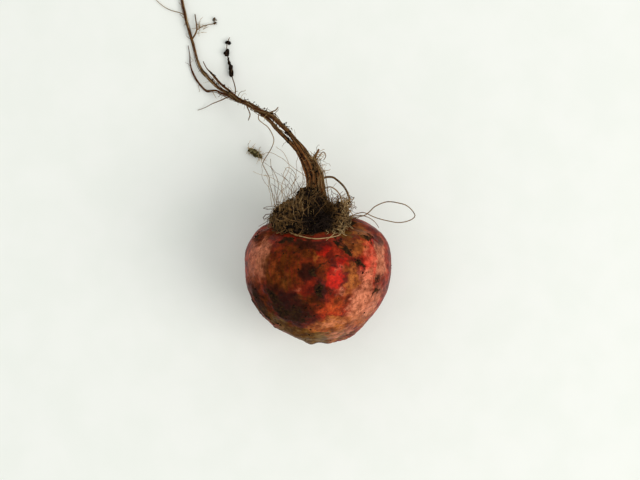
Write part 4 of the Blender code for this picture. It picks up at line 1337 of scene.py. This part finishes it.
def crumbly_clod(name, material, balls):
    bm = bmesh.new()
    bmesh.ops.create_icosphere(bm, subdivisions=4, radius=1.0)
    out = np.array([v.co for v in bm.verts])
    ball_faces = [tuple(v.index for v in f.verts) for f in bm.faces]
    bm.free()
    points, faces = [], []
    for place, half_sizes in balls:
        shell = (np.array(place) + out * np.array(half_sizes)) * MM
        shell += out * (0.45 * MM * clouds(shell, 1.5 * MM, 4))[:, None]
        faces += [tuple(len(points) * len(out) + k for k in face) for face in ball_faces]
        points.append(shell)
    points = np.vstack(points)
    points[:, 2] = np.maximum(points[:, 2], 0.1 * MM)
    return add_mesh(name + "_crumbly", points, faces, material)


clods = {name: crumbly_clod(name, finish, balls) for name, (finish, _, balls) in CLODS.items()}
print(len(clods), "clods")

# %% [markdown]
# ## Tie the pieces to the frame
#
# Each piece rides on the frame's only body. The main ones replace the solids they stand for, and the
# list gives the material slot of each finish.

# %%
# Ride and replace
PIECES = [
    (skin, "red_skin", ["storage_root"]), (strands, "brown_root", ["tap_root"]),
    (side_roots, "brown_root", []), (nest, "brown_root", []), (strand_fibres, "brown_root", []),
    (hairs, "brown_root", []), (mat, "dark_soil", []), (skin_crumbs, "dark_soil", []),
    (mat_crumbs, "dark_soil", []), (strand_crumbs, "dark_soil", []),
]
PIECES += [(clods[name], facts[1], [name]) for name, facts in CLODS.items()]
for piece, slot, nodes in PIECES:
    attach(piece, "root")
    if nodes:
        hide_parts(*nodes)
faces = {piece.name: sum(len(p.vertices) - 2 for p in piece.data.polygons) for piece, _, _ in PIECES}
print("triangles:", faces, "in all", sum(faces.values()))

# %% [markdown]
# ## The floor and the light
#
# The root lies on white paper under one large soft lamp from the right, with even light from all round.
# The lamp is large and not far away, so the shadow on the left is broad and has no edge.

# %%
# White paper and soft light
def paper_material():
    material, tree, shader = new_material("matt_white_paper")
    tone = ramp(tree, cloud(tree, here(tree), 30 * MM, 2), 0.3, 0.7)
    fill(tree, shader, Base_Color=blend(tree, tone, "#edf1ec", "#f0f3ef"), Roughness=0.9)
    return material


bpy.ops.mesh.primitive_plane_add(size=6.0, location=(0, 0, 0))
floor = bpy.context.active_object
floor.name = "paper_floor"
floor.data.materials.append(paper_material())


def soft_lamp(name, place, aim, size, power, colour):
    """A square area lamp that faces a point."""
    data = bpy.data.lights.new(name, "AREA")
    data.size, data.energy, data.color = size, power, linear(colour)[:3]
    made = bpy.data.objects.new(name, data)
    made.location = place
    made.rotation_euler = (Vector(aim) - Vector(place)).to_track_quat("-Z", "Y").to_euler()
    scene.collection.objects.link(made)


soft_lamp("window", place=(1.9, -0.62, 1.9), aim=(0, 0.03, 0.03), size=1.7, power=38.0, colour="#fffaf6")
world = bpy.data.worlds.new("even_light")
world.use_nodes = True
fill(world.node_tree, world.node_tree.nodes["Background"], Color="#f6f7f4", Strength=0.81)
scene.world = world
scene.view_settings.view_transform = "Standard"
